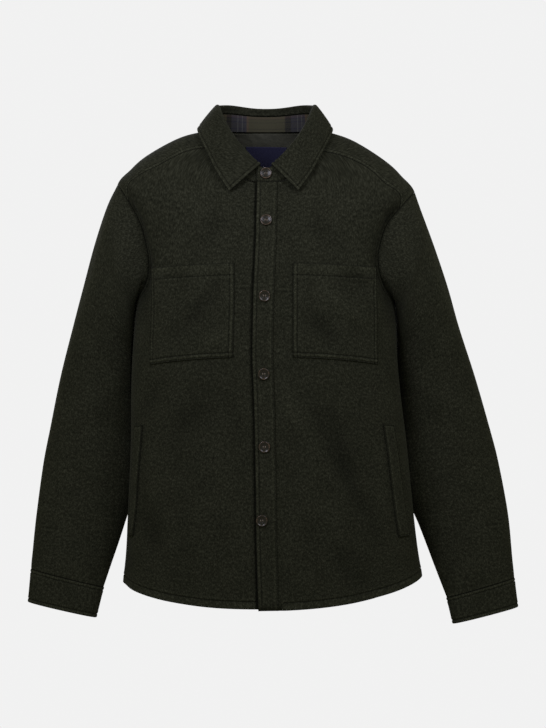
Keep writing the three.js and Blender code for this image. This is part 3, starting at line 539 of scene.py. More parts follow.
def shell(name, outer, inner, normal, material, painted_shading, around=False, centred=False):
    """A closed wall: an outer and an inner grid that share the points of their free borders.

    The grain runs from the first column, or both ways from the middle one of a centred piece.
    """
    rows, columns = outer.shape[:2]
    top = np.arange(rows * columns).reshape(rows, columns)
    shared = np.zeros((rows, columns), bool)
    shared[[0, -1]] = True
    if not around:
        shared[:, [0, -1]] = True
    under = top.copy()
    under[~shared] = rows * columns + np.arange((~shared).sum())
    points = np.vstack([outer.reshape(-1, 3), inner[~shared]])
    painted_shading = np.concatenate([painted_shading.ravel(), np.zeros((~shared).sum())])
    grain = np.stack([lengths(outer, 1), lengths(outer, 0)], axis=-1)
    if centred:
        middle = columns // 4 if around else columns // 2
        grain[..., 0] -= grain[:, middle, :1].copy()
        grain[..., 1] = grain[:, middle, 1:].copy()
    elif not around:
        grain[..., 1] = grain[:, :1, 1].copy()
    if around:
        closing = np.linalg.norm(outer[:, 0] - outer[:, -1], axis=-1)
        last = np.stack([grain[:, -1, 0] + closing, grain[:, 0, 1]], axis=-1)
        grain = np.concatenate([grain, last[:, None]], axis=1)
        top = np.hstack([top, top[:, :1]])
        under = np.hstack([under, under[:, :1]])
    corners = [(slice(0, -1), slice(0, -1)), (slice(0, -1), slice(1, None)),
               (slice(1, None), slice(1, None)), (slice(1, None), slice(0, -1))]
    outside = np.stack([top[c].ravel() for c in corners], axis=1)
    inside = np.stack([under[c].ravel() for c in corners[::-1]], axis=1)
    outside_uv = np.stack([grain[c].reshape(-1, 2) for c in corners], axis=1)
    inside_uv = outside_uv[:, ::-1]
    row, column = rows // 2, columns // 2
    middle = outer[row, column]
    facing = np.cross(outer[row, column + 1] - middle, outer[row + 1, column] - middle)
    faces = np.vstack([outside, inside])
    uv = np.vstack([outside_uv, inside_uv])
    if np.dot(facing, normal[row, column]) < 0:
        faces = faces[:, ::-1]
        uv = uv[:, ::-1]
    return make_mesh(name, points, faces, material, uv.reshape(-1, 2), painted_shading)


GROOVE_DEPTH = 0.95
GROOVE_WIDTH = 0.95
PUFF = 0.4
# Painted shading: RIDGE_LIGHT and SWELL_LIGHT paint light on the ridge inside each edge and on the swells
# beside stitches; EDGE_SHADE, GROOVE_SHADE and FOLD_SHADE paint shade at the edges, in the stitch grooves
# and in the creases.
RIDGE_AT = 2.8
RIDGE_WIDTH = 1.5
RIDGE_LIGHT = 0.4
EDGE_WIDTH = 0.9
EDGE_SHADE = 0.7
GROOVE_SHADE = 0.32
SWELL_LIGHT = 0.22
FOLD_SHADE = 0.06


def groove_along(distance, at):
    """Depth of a bell-shaped groove that runs at one distance from an edge."""
    return GROOVE_DEPTH * np.exp(-((distance - at) / GROOVE_WIDTH) ** 2)


def edge_distances(points, around=False):
    """Distance of each grid point from the four edges of a piece."""
    up = lengths(points, 0)
    edges = {"low": up, "high": up[-1:] - up}
    if not around:
        across = lengths(points, 1)
        edges["start"] = across
        edges["end"] = across[:, -1:] - across
    return edges


def line_at(edges, edge, at, points, normal):
    """Points and ways out where the distance from an edge reaches a value, along that edge."""
    distance = edges[edge]
    if edge in ("low", "high"):
        distance, points, normal = distance.T, points.swapaxes(0, 1), normal.swapaxes(0, 1)
    if edge in ("high", "end"):
        distance, points, normal = distance[:, ::-1], points[:, ::-1], normal[:, ::-1]
    k = np.clip((distance < at).sum(axis=1), 1, distance.shape[1] - 1)
    row = np.arange(len(distance))
    before, after = distance[row, k - 1], distance[row, k]
    t = np.clip((at - before) / np.maximum(after - before, 1e-6), 0, 1)[:, None]
    return points[row, k - 1] * (1 - t) + points[row, k] * t, normal[row, k]


def cloth_piece(name, points, normal, thickness, material, stitches, roll=1.0, around=False,
                extra=0.0, centred=False, painted_shade_depth=0.0):
    """A cloth wall with rolled edges, a groove under each stitch row and a soft swell beside it.

    The edge falls as a quarter ellipse to the middle of the wall. A groove is bell shaped. The
    painted shading is painted shade at the edge, in the grooves, in the creases and valleys, and
    painted light on the ridges and swells, where the lamps' shade and light would fall.
    Returns the piece, its outer points and its distances from the edges.
    """
    edges = edge_distances(points, around)
    nearest = np.minimum.reduce(list(edges.values()))
    fall = thickness / 2 * (1 - np.sqrt(1 - np.clip(1 - nearest / roll, 0, 1) ** 2))
    groove = np.zeros(nearest.shape) + extra / GROOVE_DEPTH
    swell = np.zeros(nearest.shape)
    for edge, rows in stitches.items():
        for at in rows:
            away = edges[edge] - at
            groove += np.exp(-(away / GROOVE_WIDTH) ** 2)
            swell += np.exp(-((np.abs(away) - 3 * GROOVE_WIDTH) / (1.6 * GROOVE_WIDTH)) ** 2)
    press = GROOVE_DEPTH * groove - PUFF * swell
    # Painted light on the ridges and swells, painted shade at the edge, in the grooves and in creases.
    painted_shading = RIDGE_LIGHT * np.exp(-((nearest - RIDGE_AT) / RIDGE_WIDTH) ** 2) + SWELL_LIGHT * swell
    painted_shading -= EDGE_SHADE * np.exp(-(nearest / EDGE_WIDTH) ** 2) + GROOVE_SHADE * groove
    painted_shading -= FOLD_SHADE * painted_shade_depth
    outer = points - normal * (fall + press)[..., None]
    inner = points - normal * (thickness - fall)[..., None]
    piece = shell(name, outer, inner, normal, material, painted_shading, around, centred)
    return piece, outer, edges


def declare_cloth(node):
    """Hides the model's solid that the cloth stands for."""
    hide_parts(node)


THREAD_COLOUR = (0.0095, 0.0098, 0.0068, 1)
STITCH_PITCH = 3.3
STITCH_LENGTH = 2.5
STITCH_RADIUS = 0.26
STITCH_SIDES = 5
STITCH_RISE = np.array([-0.6, 0.7, 0.7, -0.6])

thread, _, thread_shader, _ = new_material("thread", 0.6)
thread_shader.inputs["Base Color"].default_value = THREAD_COLOUR


def along_path(at, run, values):
    """Vectors read at distances along a path, straight between its points."""
    return np.stack([np.interp(at, run, values[:, k]) for k in range(3)], axis=-1)


def stitch_rows(name, paths):
    """One mesh of stitches: small spindles laid end to end along paths on the cloth."""
    turn = np.radians(np.arange(STITCH_SIDES) * 360 / STITCH_SIDES)
    all_points = []
    for path, normal in paths:
        run = lengths(path[None], 1)[0]
        count = int(run[-1] / STITCH_PITCH)
        if count < 1:
            continue
        middle = (np.arange(count) + 0.5) * STITCH_PITCH
        ends = [middle - STITCH_LENGTH / 2, middle - STITCH_LENGTH / 4,
                middle + STITCH_LENGTH / 4, middle + STITCH_LENGTH / 2]
        at = np.stack([along_path(end, run, path) for end in ends], axis=1)
        out = unit(along_path(middle, run, normal))
        along = unit(at[:, 3] - at[:, 0])
        aside = np.cross(along, out)
        at = at + out[:, None] * STITCH_RADIUS * STITCH_RISE[None, :, None]
        ring = np.cos(turn)[:, None] * aside[:, None] + np.sin(turn)[:, None] * out[:, None]
        body = at[:, 1:3, None] + ring[:, None] * STITCH_RADIUS
        body = body.reshape(count, 2 * STITCH_SIDES, 3)
        all_points.append(np.concatenate([at[:, :1], body, at[:, 3:]], axis=1))
    points = np.concatenate(all_points)
    first = 1 + np.arange(STITCH_SIDES)
    first_next = 1 + np.arange(1, STITCH_SIDES + 1) % STITCH_SIDES
    second, second_next = first + STITCH_SIDES, first_next + STITCH_SIDES
    head = np.stack([np.zeros(STITCH_SIDES, int), first_next, first], axis=1)
    side_a = np.stack([first, first_next, second_next], axis=1)
    side_b = np.stack([first, second_next, second], axis=1)
    tail = np.stack([np.full(STITCH_SIDES, 2 * STITCH_SIDES + 1), second, second_next], axis=1)
    one = np.vstack([head, side_a, side_b, tail])
    starts = points.shape[1] * np.arange(len(points))
    faces = (one[None] + starts[:, None, None]).reshape(-1, 3)
    piece = make_mesh(name, points.reshape(-1, 3), faces, thread)


# Fronts
# Two front panels of single wool cloth, hemmed at the bottom. The wearer's left one laps over the
# right one. They meet the back at the side seams, the sleeves at the armholes and the yoke on top.
FRONT_EDGE = np.array([
    [-84, -14], [-180, -15.7], [-269, -19.7], [-358, -21.3],
    [-446, -18], [-558, -16], [-645, -15], [-753, -11.8],
], float)
FRONT_BAND = 32.0
HEM_LAP_DROP = 0.045
HEM_STITCH = 12.0
ARMHOLE_STITCH = 7.0
EDGE_ROLL = 1.2
SEAM_ROLL = 0.5
SCENE_GAP = 0.1
PITCH = 3.2
FINE_PITCH = 2.4
LAP_FADE = (9, 1)
# VALLEY_SHADE paints shade in the valleys beside the armholes.
VALLEY_SHADE = 0.6
# LAP_SHADE paints the shadow that the edge of the upper front casts on the cloth beside it.
LAP_SHADE = 22
LAP_SHADE_AT = 1.2
LAP_SHADE_WIDTH = 1.8


def turn_for(distance, angle, level):
    """Degrees that move a point on the body by a distance."""
    ahead = np.linalg.norm(body_point(angle + 0.5, level) - body_point(angle - 0.5, level), axis=-1)
    return distance / ahead


def front_limit(side, level):
    """Outer limit of a front: the side seam, then the armhole, then the end of the yoke seam."""
    limit = 90 - armhole_offset(level, side["front_reach"])
    limit = np.where(level <= ARMPIT_LEVEL, 90.0, limit)
    share = (level - side["seam_level"]) / (NECK_LEVEL - side["seam_level"])
    seam = side["yoke_angle"] - yoke_bow(side["bow"], side["bow_level"], level, share)
    return np.where(level >= side["seam_level"], seam, limit)


def front_edge_angle(level):
    """Angle and x of the edge of the upper front at each level."""
    z = body_point(np.zeros_like(level), level)[..., 2]
    x = np.interp(-z, -FRONT_EDGE[:, 0], FRONT_EDGE[:, 1])
    return angle_at_x(x, level), x


def band_end_angle(level):
    """Angle of the inner edge of the front band."""
    return angle_at_x(front_edge_angle(level)[1] + FRONT_BAND, level)


front_paths = []
front_places = {}
for name, side in SIDES.items():
    sign = side["sign"]
    seam_lines = edge_lines(SEAM_ROLL, [ARMHOLE_STITCH])
    levels = levels_along(
        lambda level: sign * front_limit(side, level), 0, NECK_LEVEL,
        (ARMPIT_LEVEL, side["seam_level"]), np.array([0.0]), edge_lines(SEAM_ROLL, []), PITCH,
    )
    outer_limit = front_limit(side, levels)
    outer_limit = sign * (outer_limit - turn_for(SCENE_GAP, outer_limit, levels))
    centre = front_edge_angle(levels)[0] if name == "left" else band_end_angle(levels)
    angle, level = body_grid(levels, centre, outer_limit, edge_lines(EDGE_ROLL, []), seam_lines, PITCH)
    if name == "left":
        level[0] -= HEM_LAP_DROP * (1 - np.linspace(0, 1, angle.shape[1]))
    angle, level = hem_rows(angle, level, edge_lines(EDGE_ROLL, [HEM_STITCH]))
    from_edge = lengths(body_point(angle, level), 1)
    lap = ramp(FRONT_BAND + LAP_FADE[0], FRONT_BAND + LAP_FADE[1], from_edge)
    out = LAP_OUT * lap if name == "left" else 0.0
    points, normal = body_out(angle, level, out)
    front_places[name] = (angle, level)
    on_armhole = (level > ARMPIT_LEVEL) & (level < side["seam_level"])
    from_seam = edge_distances(points)["end"]
    groove = np.where(on_armhole, groove_along(from_seam, ARMHOLE_STITCH), 0)
    from_lap = points[..., 0] - front_edge_angle(level)[1] + LAP_SHADE_AT
    # Painted shade in the creases and in the valleys beside the armholes.
    painted_shade_depth = crease_depth(points, FRONT_CREASES) + VALLEY_SHADE * sink(angle, level)
    # Painted shadow on the cloth beside the edge of the upper front.
    painted_shade_depth += LAP_SHADE * np.exp(-(from_lap / LAP_SHADE_WIDTH) ** 2)
    piece, outer, edges = cloth_piece(
        f"front_{name}_cloth", points, normal, CLOTH, wool, {"low": [HEM_STITCH]}, EDGE_ROLL,
        extra=groove, painted_shade_depth=painted_shade_depth,
    )
    declare_cloth(f"front_{name}_wearer")
    front_paths.append(line_at(edges, "low", HEM_STITCH, outer, normal))
    path, way = line_at(edges, "end", ARMHOLE_STITCH, outer, normal)
    keep = on_armhole[:, -1]
    front_paths.append((path[keep], way[keep]))
stitch_rows("front_stitches", front_paths)

# Front band
# A straight band of the same wool, 32 mm wide, folded and stitched down along the edge of the upper
# front from hem to neck. Its buttonholes lie hidden under the buttons.
BAND_OUT = LAP_OUT + SEAM_GAP + CLOTH
BAND_STITCH = 6.0
BAND_INNER_STITCH = 2.2

levels = levels_along(
    lambda level: 0 * level, -HEM_LAP_DROP, NECK_LEVEL, (),
    edge_lines(EDGE_ROLL, [HEM_STITCH]), edge_lines(SEAM_ROLL, []), PITCH,
)
angle, level = body_grid(
    levels, front_edge_angle(levels)[0], band_end_angle(levels),
    edge_lines(EDGE_ROLL, [BAND_STITCH]), edge_lines(EDGE_ROLL, [BAND_INNER_STITCH]), FINE_PITCH,
)
points, normal = body_out(angle, level, BAND_OUT)
# The band carries painted shade in the creases of the front.
piece, outer, edges = cloth_piece(
    "front_band_cloth", points, normal, CLOTH, wool,
    {"start": [BAND_STITCH], "end": [BAND_INNER_STITCH], "low": [HEM_STITCH]}, EDGE_ROLL,
    painted_shade_depth=crease_depth(points, FRONT_CREASES),
)
declare_cloth("front_placket")
stitch_rows("band_stitches", [
    line_at(edges, "start", BAND_STITCH, outer, normal),
    line_at(edges, "end", BAND_INNER_STITCH, outer, normal),
    line_at(edges, "low", HEM_STITCH, outer, normal),
])

# Chest pockets
# Two square patches of wool with a deep hem across the top, set on the fronts with two rows of
# stitches down the sides and along the bottom.
# Angles of the inner edge, and of the outer edge below and above.
POCKET_COLUMNS = {"left": (9.2, 53.9, 56), "right": (10.6, 55.5, 58.5)}
POCKET_MIDDLE = 30
POCKET_FROM_BAND = 2.5
POCKET_SAG = 1.2
POCKET_BOTTOM = 4.75
POCKET_TOP = ARMPIT_LEVEL + 0.8
POCKET_OUT = SEAM_GAP + CLOTH
POCKET_STITCHES = [1.8, 7.6]
POCKET_HEM = 18.5
POCKET_LIFT = 0.12

pocket_paths = []
for name, (near, far_low, far_high) in POCKET_COLUMNS.items():
    sign = SIDES[name]["sign"]
    near_lines = edge_lines(EDGE_ROLL, POCKET_STITCHES)
    levels = levels_along(
        lambda level: np.full_like(level, sign * POCKET_MIDDLE), POCKET_BOTTOM, POCKET_TOP, (),
        near_lines, edge_lines(EDGE_ROLL, [POCKET_HEM]), FINE_PITCH,
    )
    band_end = band_end_angle(levels) if name == "left" else -front_edge_angle(levels)[0]
    first = sign * np.maximum(near, band_end + POCKET_FROM_BAND)
    share = (levels - POCKET_BOTTOM) / (POCKET_TOP - POCKET_BOTTOM)
    last = sign * (far_low + (far_high - far_low) * share)
    angle, level = body_grid(levels, first, last, near_lines, near_lines, FINE_PITCH)
    across = (angle - angle[:, :1]) / (angle[:, -1:] - angle[:, :1])
    level = level + POCKET_LIFT * (across * share[:, None]) ** 2
    sag = POCKET_SAG * np.sin(np.pi * share)[:, None] * np.sin(np.pi * across)
    points, normal = body_out(angle, level, POCKET_OUT + sag)
    stitches = {edge: POCKET_STITCHES for edge in ("start", "end", "low")}
    stitches["high"] = [POCKET_HEM]
    # Each pocket carries painted shade in the creases of the front.
    piece, outer, edges = cloth_piece(
        f"chest_pocket_{name}_cloth", points, normal, CLOTH, wool, stitches, EDGE_ROLL,
        painted_shade_depth=crease_depth(points, FRONT_CREASES),
    )
    declare_cloth(f"chest_pocket_{name}_wearer")
    for edge in ("start", "end", "low"):
        for at in POCKET_STITCHES:
            path, way = line_at(edges, edge, at, outer, normal)
            ends = lengths(path[None], 1)[0]
            last_part = ends[-1] if edge != "low" else ends[-1] - at
            keep = (ends >= at) & (ends <= last_part)
            pocket_paths.append((path[keep], way[keep]))
    pocket_paths.append(line_at(edges, "high", POCKET_HEM, outer, normal))
stitch_rows("pocket_stitches", pocket_paths)

# Hand pocket welts
# Doubled strips of wool that stand over the slanting mouths of the hand pockets, stitched round.
DOUBLED = 3.0
WELT_OUT = SEAM_GAP + DOUBLED
WELT_LEVELS = (1.55, 3.35)
# Angles of the front and the rear edge below, then above.
WELTS = {"left": (57.5, 69, 53, 62.5), "right": (69, 80, 61.5, 72)}
WELT_STITCH = 2.2
WELT_PITCH = 2.2

welt_paths = []
for name, (front_low, rear_low, front_top, rear_top) in WELTS.items():
    sign = SIDES[name]["sign"]
    near_lines = edge_lines(EDGE_ROLL, [WELT_STITCH])
    levels = levels_along(lambda level: np.full_like(level, sign * front_low), *WELT_LEVELS, (),
                          near_lines, near_lines, WELT_PITCH)
    share = (levels - WELT_LEVELS[0]) / (WELT_LEVELS[1] - WELT_LEVELS[0])
    first = sign * (front_low + (front_top - front_low) * share)
    last = sign * (rear_low + (rear_top - rear_low) * share)
    angle, level = body_grid(levels, first, last, near_lines, near_lines, WELT_PITCH)
    points, normal = body_out(angle, level, WELT_OUT)
    stitches = {edge: [WELT_STITCH] for edge in ("start", "end", "low", "high")}
    piece, outer, edges = cloth_piece(
        f"welt_{name}_cloth", points, normal, DOUBLED, wool, stitches, EDGE_ROLL,
    )
    declare_cloth(f"welt_{name}_wearer")
    for edge in stitches:
        welt_paths.append(line_at(edges, edge, WELT_STITCH, outer, normal))
stitch_rows("welt_stitches", welt_paths)

# Back
# One wide panel of wool from side seam to side seam, hemmed below and sewn to the yoke above.
BACK_PITCH = 3.8
BACK_ROW_PITCH = 3.6
YOKE_SEAM = 0.002
side_left, side_right = SIDES["left"], SIDES["right"]


def back_limit(level):
    """Angle of the side seam, then of the armhole seam, on the wearer's left."""
    offset = armhole_offset(level, BACK_REACH)
    return 90 + np.where(level <= ARMPIT_LEVEL, 0, offset)


levels = levels_along(back_limit, 0, BACK_YOKE_LEVEL - YOKE_SEAM, (ARMPIT_LEVEL,), np.array([0.0]),
                      edge_lines(SEAM_ROLL, []), BACK_ROW_PITCH)
limit = back_limit(levels)
turn = turn_for(SCENE_GAP, limit, levels)
seam_lines = edge_lines(SEAM_ROLL, [ARMHOLE_STITCH])
angle, level = body_grid(levels, limit + turn, 360 - limit - turn, seam_lines, seam_lines, BACK_PITCH)
angle, level = hem_rows(angle, level, edge_lines(EDGE_ROLL, [HEM_STITCH]))
points, normal = body_out(angle, level, 0)
on_armhole = level > ARMPIT_LEVEL
edges = edge_distances(points)
groove = np.zeros(level.shape)
for edge in ("start", "end"):
    groove += np.where(on_armhole, groove_along(edges[edge], ARMHOLE_STITCH), 0)
# Painted shade in the creases of the back and in the valleys beside the armholes.
painted_shade_depth = crease_depth(points, BACK_CREASES) + VALLEY_SHADE * sink(angle, level)
piece, outer, edges = cloth_piece(
    "back_cloth", points, normal, CLOTH, wool, {"low": [HEM_STITCH]}, EDGE_ROLL,
    extra=groove, centred=True, painted_shade_depth=painted_shade_depth,
)
declare_cloth("back")
back_paths = [line_at(edges, "low", HEM_STITCH, outer, normal)]
for edge in ("start", "end"):
    path, way = line_at(edges, edge, ARMHOLE_STITCH, outer, normal)
    back_paths.append((path[on_armhole[:, 0]], way[on_armhole[:, 0]]))
stitch_rows("back_stitches", back_paths)

# Yoke
# One piece of wool over both shoulders, from the front yoke seams round to the straight seam across
# the back, with two rows of stitches beside each of those seams.
YOKE_STITCHES = [1.8, 7.4]
YOKE_PITCH = 3.0


def yoke_low_level(angle):
    """Lower edge of the yoke: over each armhole it follows the seam, behind it runs straight."""
    turned = turned_angle(angle)
    off = np.abs(turned) - 90
    front = np.where(turned >= 0, side_left["front_reach"], side_right["front_reach"])
    over = armhole_top(off, np.where(off < 0, front, BACK_REACH))
    return np.where(off >= side_left["back_angle"] - 90, BACK_YOKE_LEVEL, over)


def yoke_grid(out, near_lines):
    """Grid of a layer of the yoke, whose columns rise from the lower edge to the neck.

    Returns its points, the way out, the angle and the level at each.
    """
    angles = np.linspace(side_left["yoke_angle"], 360 - side_right["yoke_angle"], 6001)
    path = lengths(body_point(angles, yoke_low_level(angles))[None], 1)[0]
    at = spread_out(path[-1:], near_lines, near_lines, YOKE_PITCH)[0]
    column_angle = np.interp(at, path, angles)
    for corner in (side_left["back_angle"], 360 - side_right["back_angle"]):
        column_angle[np.abs(column_angle - corner).argmin()] = corner
    low = yoke_low_level(column_angle) + YOKE_SEAM
    share = np.linspace(0, 1, 121)
    tall = low[:, None] + (NECK_LEVEL - low)[:, None] * share
    climb = lengths(body_point(column_angle[:, None], tall), 1)
    rows = spread_out(climb[:, -1], near_lines, edge_lines(SEAM_ROLL, []), YOKE_PITCH)
    level = read_back(rows, climb, tall).T
    turned = turned_angle(column_angle)
    share = (level - low) / (NECK_LEVEL - low)
    angle = np.repeat(column_angle[None], len(level), axis=0)
    for side in SIDES.values():
        own = side["sign"] * turned
        span = side["back_angle"] - side["yoke_angle"]
        near = np.clip((side["back_angle"] - own) / span, 0, 1) * (own > 0)
        bow = yoke_bow(side["bow"], side["bow_level"], level, share)
        angle = angle - side["sign"] * bow * near ** 2
    return body_out(angle, level, out) + (angle, level)


points, normal, angle, level = yoke_grid(0, edge_lines(SEAM_ROLL, YOKE_STITCHES))
edges = edge_distances(points)
behind = (angle[0] >= side_left["back_angle"]) & (angle[0] <= 360 - side_right["back_angle"])
groove = np.zeros(level.shape)
for at in YOKE_STITCHES:
    groove += groove_along(edges["low"], at) * behind
piece, outer, edges = cloth_piece(
    "yoke_cloth", points, normal, CLOTH, wool,
    {"start": YOKE_STITCHES, "end": YOKE_STITCHES}, SEAM_ROLL, extra=groove, centred=True,
)
declare_cloth("yoke")
yoke_paths = []
for at in YOKE_STITCHES:
    yoke_paths.append(line_at(edges, "start", at, outer, normal))
    yoke_paths.append(line_at(edges, "end", at, outer, normal))
    path, way = line_at(edges, "low", at, outer, normal)
    yoke_paths.append((path[behind], way[behind]))
stitch_rows("yoke_stitches", yoke_paths)

# Yoke lining
# Thin plain olive lining under the yoke, which shows inside the neck, with small slanting creases.
LINING = 1.0
LINING_OUT = -CLOTH - SEAM_GAP
LINING_ROLL = 0.5
LINING_TONES = [(0.033, 0.033, 0.026, 1), (0.060, 0.060, 0.047, 1)]
LINING_DEPTH = 0.0002
# Raised creases at the back of the neck: from x, z to x, z, and half width.
LINING_CREASES = [
    (-34, 8, -8, -44, 4), (-16, 10, 6, -40, 3), (6, 10, 30, -38, 3.5), (-60, 0, -40, -46, 4),
    (34, 6, 58, -40, 4),
]
LINING_CREASE_RISE = 0.8
LINING_CREASES_BEHIND = 20

lining, tree, shader, place = new_material("lining", 0.62)
threads = noise(tree, place, 900, 2.0, (1, 0.25, 1))
cloud = noise(tree, place, 60, 2.0)
value = combine(tree, "MULTIPLY", threads, 0.6)
value = combine(tree, "ADD", value, combine(tree, "MULTIPLY", cloud, 0.4))
tree.links.new(
    ramp_colours(tree, value, [(0.35, LINING_TONES[0]), (0.65, LINING_TONES[1])]),
    shader.inputs["Base Color"],
)
raise_surface(tree, shader, threads, LINING_DEPTH)

points, normal, angle, level = yoke_grid(LINING_OUT, edge_lines(LINING_ROLL, []))
rise = np.zeros(level.shape)
for x1, z1, x2, z2, width in LINING_CREASES:
    run = math.hypot(x2 - x1, z2 - z1)
    x, z = points[..., 0] - x1, points[..., 2] - z1
    along = (x * (x2 - x1) + z * (z2 - z1)) / run ** 2
    across = (x * (z2 - z1) - z * (x2 - x1)) / run
    rise += np.sin(np.pi * np.clip(along, 0, 1)) * np.exp(-(across / width) ** 2)
rise *= LINING_CREASE_RISE * (points[..., 1] > LINING_CREASES_BEHIND)
creased = points - normal * rise[..., None]
piece, outer, edges = cloth_piece("yoke_lining_cloth", creased, normal, LINING, lining, {}, LINING_ROLL)
declare_cloth("yoke_lining")

# Neck label
# A bare dark navy woven label, sewn to the lining under the collar along its edges.
LABEL_HALF_WIDTH = 33.5
LABEL = 0.8
LABEL_OUT = LINING_OUT - LINING - 0.9
LABEL_LEVELS = (10.75, 12.45)
LABEL_ROWS, LABEL_COLUMNS = 60, 90
LABEL_DEPTH = 0.00015
LABEL_TONES = [(0.017, 0.017, 0.039, 1), (0.029, 0.029, 0.061, 1)]

label, tree, shader, place = new_material("label", 0.5)
picks = noise(tree, place, 1500, 1.0, (0.3, 1, 1))
tree.links.new(
    ramp_colours(tree, picks, [(0.35, LABEL_TONES[0]), (0.65, LABEL_TONES[1])]),
    shader.inputs["Base Color"],
)
raise_surface(tree, shader, picks, LABEL_DEPTH)

x, level = np.meshgrid(
    np.linspace(-LABEL_HALF_WIDTH, LABEL_HALF_WIDTH, LABEL_COLUMNS),
    np.linspace(*LABEL_LEVELS, LABEL_ROWS),
)
angle = 180 - angle_at_x(x, level)
points, normal = body_out(angle, level, LABEL_OUT)
piece, outer, edges = cloth_piece("neck_label_cloth", points, normal, LABEL, label, {}, LABEL)
declare_cloth("neck_label")

# Sleeves
# Each sleeve is one piece of wool closed by a seam under the arm and set into the armhole. It hangs
# a little bent at the elbow and behind the body, with soft hollows.
# Sections from the shoulder down: x and z of the outer and of the inner edge, half depth, and how
# far behind the body's middle the section lies.
SLEEVE_SECTIONS = {
    "right": np.array([
        [-253, -122, -206, -288, 74, 6], [-273, -180, -207, -306, 76, 16],
        [-292, -247, -206, -332, 73, 28], [-310, -312, -205, -368, 66, 40],
        [-331, -392, -205, -424, 57, 50], [-348, -474, -208, -490, 49, 54],
        [-360, -536, -208, -560, 43, 53], [-371, -621, -229.5, -636, 34, 48],
        [-377, -682, -250, -698, 25, 41], [-378, -702, -261, -731, 20, 38],
    ], float),
    "left": np.array([
        [248, -132, 206, -288, 74, 6], [269, -187, 207, -306, 76, 16],
        [291, -250, 206, -332, 73, 28], [310, -314, 207, -368, 66, 40],
        [336, -392, 210, -424, 57, 50], [360, -474, 215, -490, 49, 54],
        [375, -532, 216, -562, 43, 53], [390, -615, 245, -630, 34, 48],
        [397, -690, 273, -704, 25, 41], [399, -716, 290, -748, 20, 38],
    ], float),
}
SLEEVE_SQUARENESS = 2.25
SLEEVE_COLUMNS = 150
SLEEVE_PITCH = 3.6
SLEEVE_CLEARANCE = 1.4
CLEAR_FROM, CLEAR_BELOW = -228, -262
ARMHOLE_RADIUS = 85
SEAM_SHARE = 1 - SEAM_GAP / ARMHOLE_RADIUS
SEAM_TURN = 5.0
UNDERARM_SEAM = 0.5
UNDERARM_WIDTH = 1.6
# Hollows: how far down, where round, how long, how wide, how deep.
SLEEVE_HOLLOWS = [
    (1.6, 20, 1.2, 16, 4), (3.6, -30, 0.7, 22, 4), (4.7, 10, 0.6, 26, 3), (5.9, -20, 0.5, 24, 3),
    (7.3, 40, 0.6, 26, 2.5), (3.2, 190, 0.8, 22, 4), (5.2, 160, 0.7, 24, 4), (6.8, 205, 0.6, 26, 3),
    (2.6, 60, 0.9, 12, 1.6), (5.4, 42, 0.8, 12, 1.5), (8.2, 0, 0.5, 20, 1.6), (8.8, 75, 0.5, 14, 1.2),
]


def armhole_seam(side, columns):
    """Places round an armhole seam: a squarish oval, squarer above its middle than below."""
    turn = np.linspace(-90, 270, columns, endpoint=False)
    a = np.radians(turn)
    square = np.where(np.sin(a) < 0, ARMHOLE_LOW, ARMHOLE_HIGH)
    ahead = signed_power(np.cos(a), 2 / square)
    up = signed_power(np.sin(a), 2 / square)
    reach = np.where(ahead > 0, side["front_reach"], BACK_REACH)
    level = ARMHOLE_LEVEL + ARMHOLE_HALF_HEIGHT * SEAM_SHARE * up
    off = -reach * SEAM_SHARE * ahead
    around = np.degrees(np.arctan2(level - ARMHOLE_LEVEL, ahead * SEAM_SHARE * ARMHOLE_HALF_HEIGHT))
    return side["sign"] * (90 + off), level, around


def section_ring(section, around, grow=0.0):
    """One ring of a sleeve: a squarish oval between its outer and inner edge points, made larger."""
    x_outer, z_outer, x_inner, z_inner, half_depth, behind = section
    a = np.radians(around)
    across = signed_power(np.sin(a), 2 / SLEEVE_SQUARENESS)
    along = signed_power(np.cos(a), 2 / SLEEVE_SQUARENESS)
    half_x = (x_outer - x_inner) / 2
    half_z = (z_outer - z_inner) / 2
    size = 1 + grow / math.hypot(half_x, half_z)
    return np.stack([
        (x_outer + x_inner) / 2 + half_x * size * across,
        behind - (half_depth + grow) * along,
        (z_outer + z_inner) / 2 + half_z * size * across,
    ], axis=-1)


def body_side(points):
    """Half width and centre of the body at each point's height and depth."""
    levels = np.linspace(0, ARMHOLE_LEVEL, 400)
    level = np.interp(points[..., 2], curve(RINGS["z_side"], levels), levels)
    depth = np.where(points[..., 1] < 0, curve(RINGS["front"], level), curve(RINGS["back"], level))
    share = np.minimum(1, np.abs(points[..., 1]) / (depth + 2))
    wide = (1 - share ** BODY_SQUARENESS) ** (1 / BODY_SQUARENESS)
    return curve(RINGS["centre"], level), curve(RINGS["half_width"], level) * wide


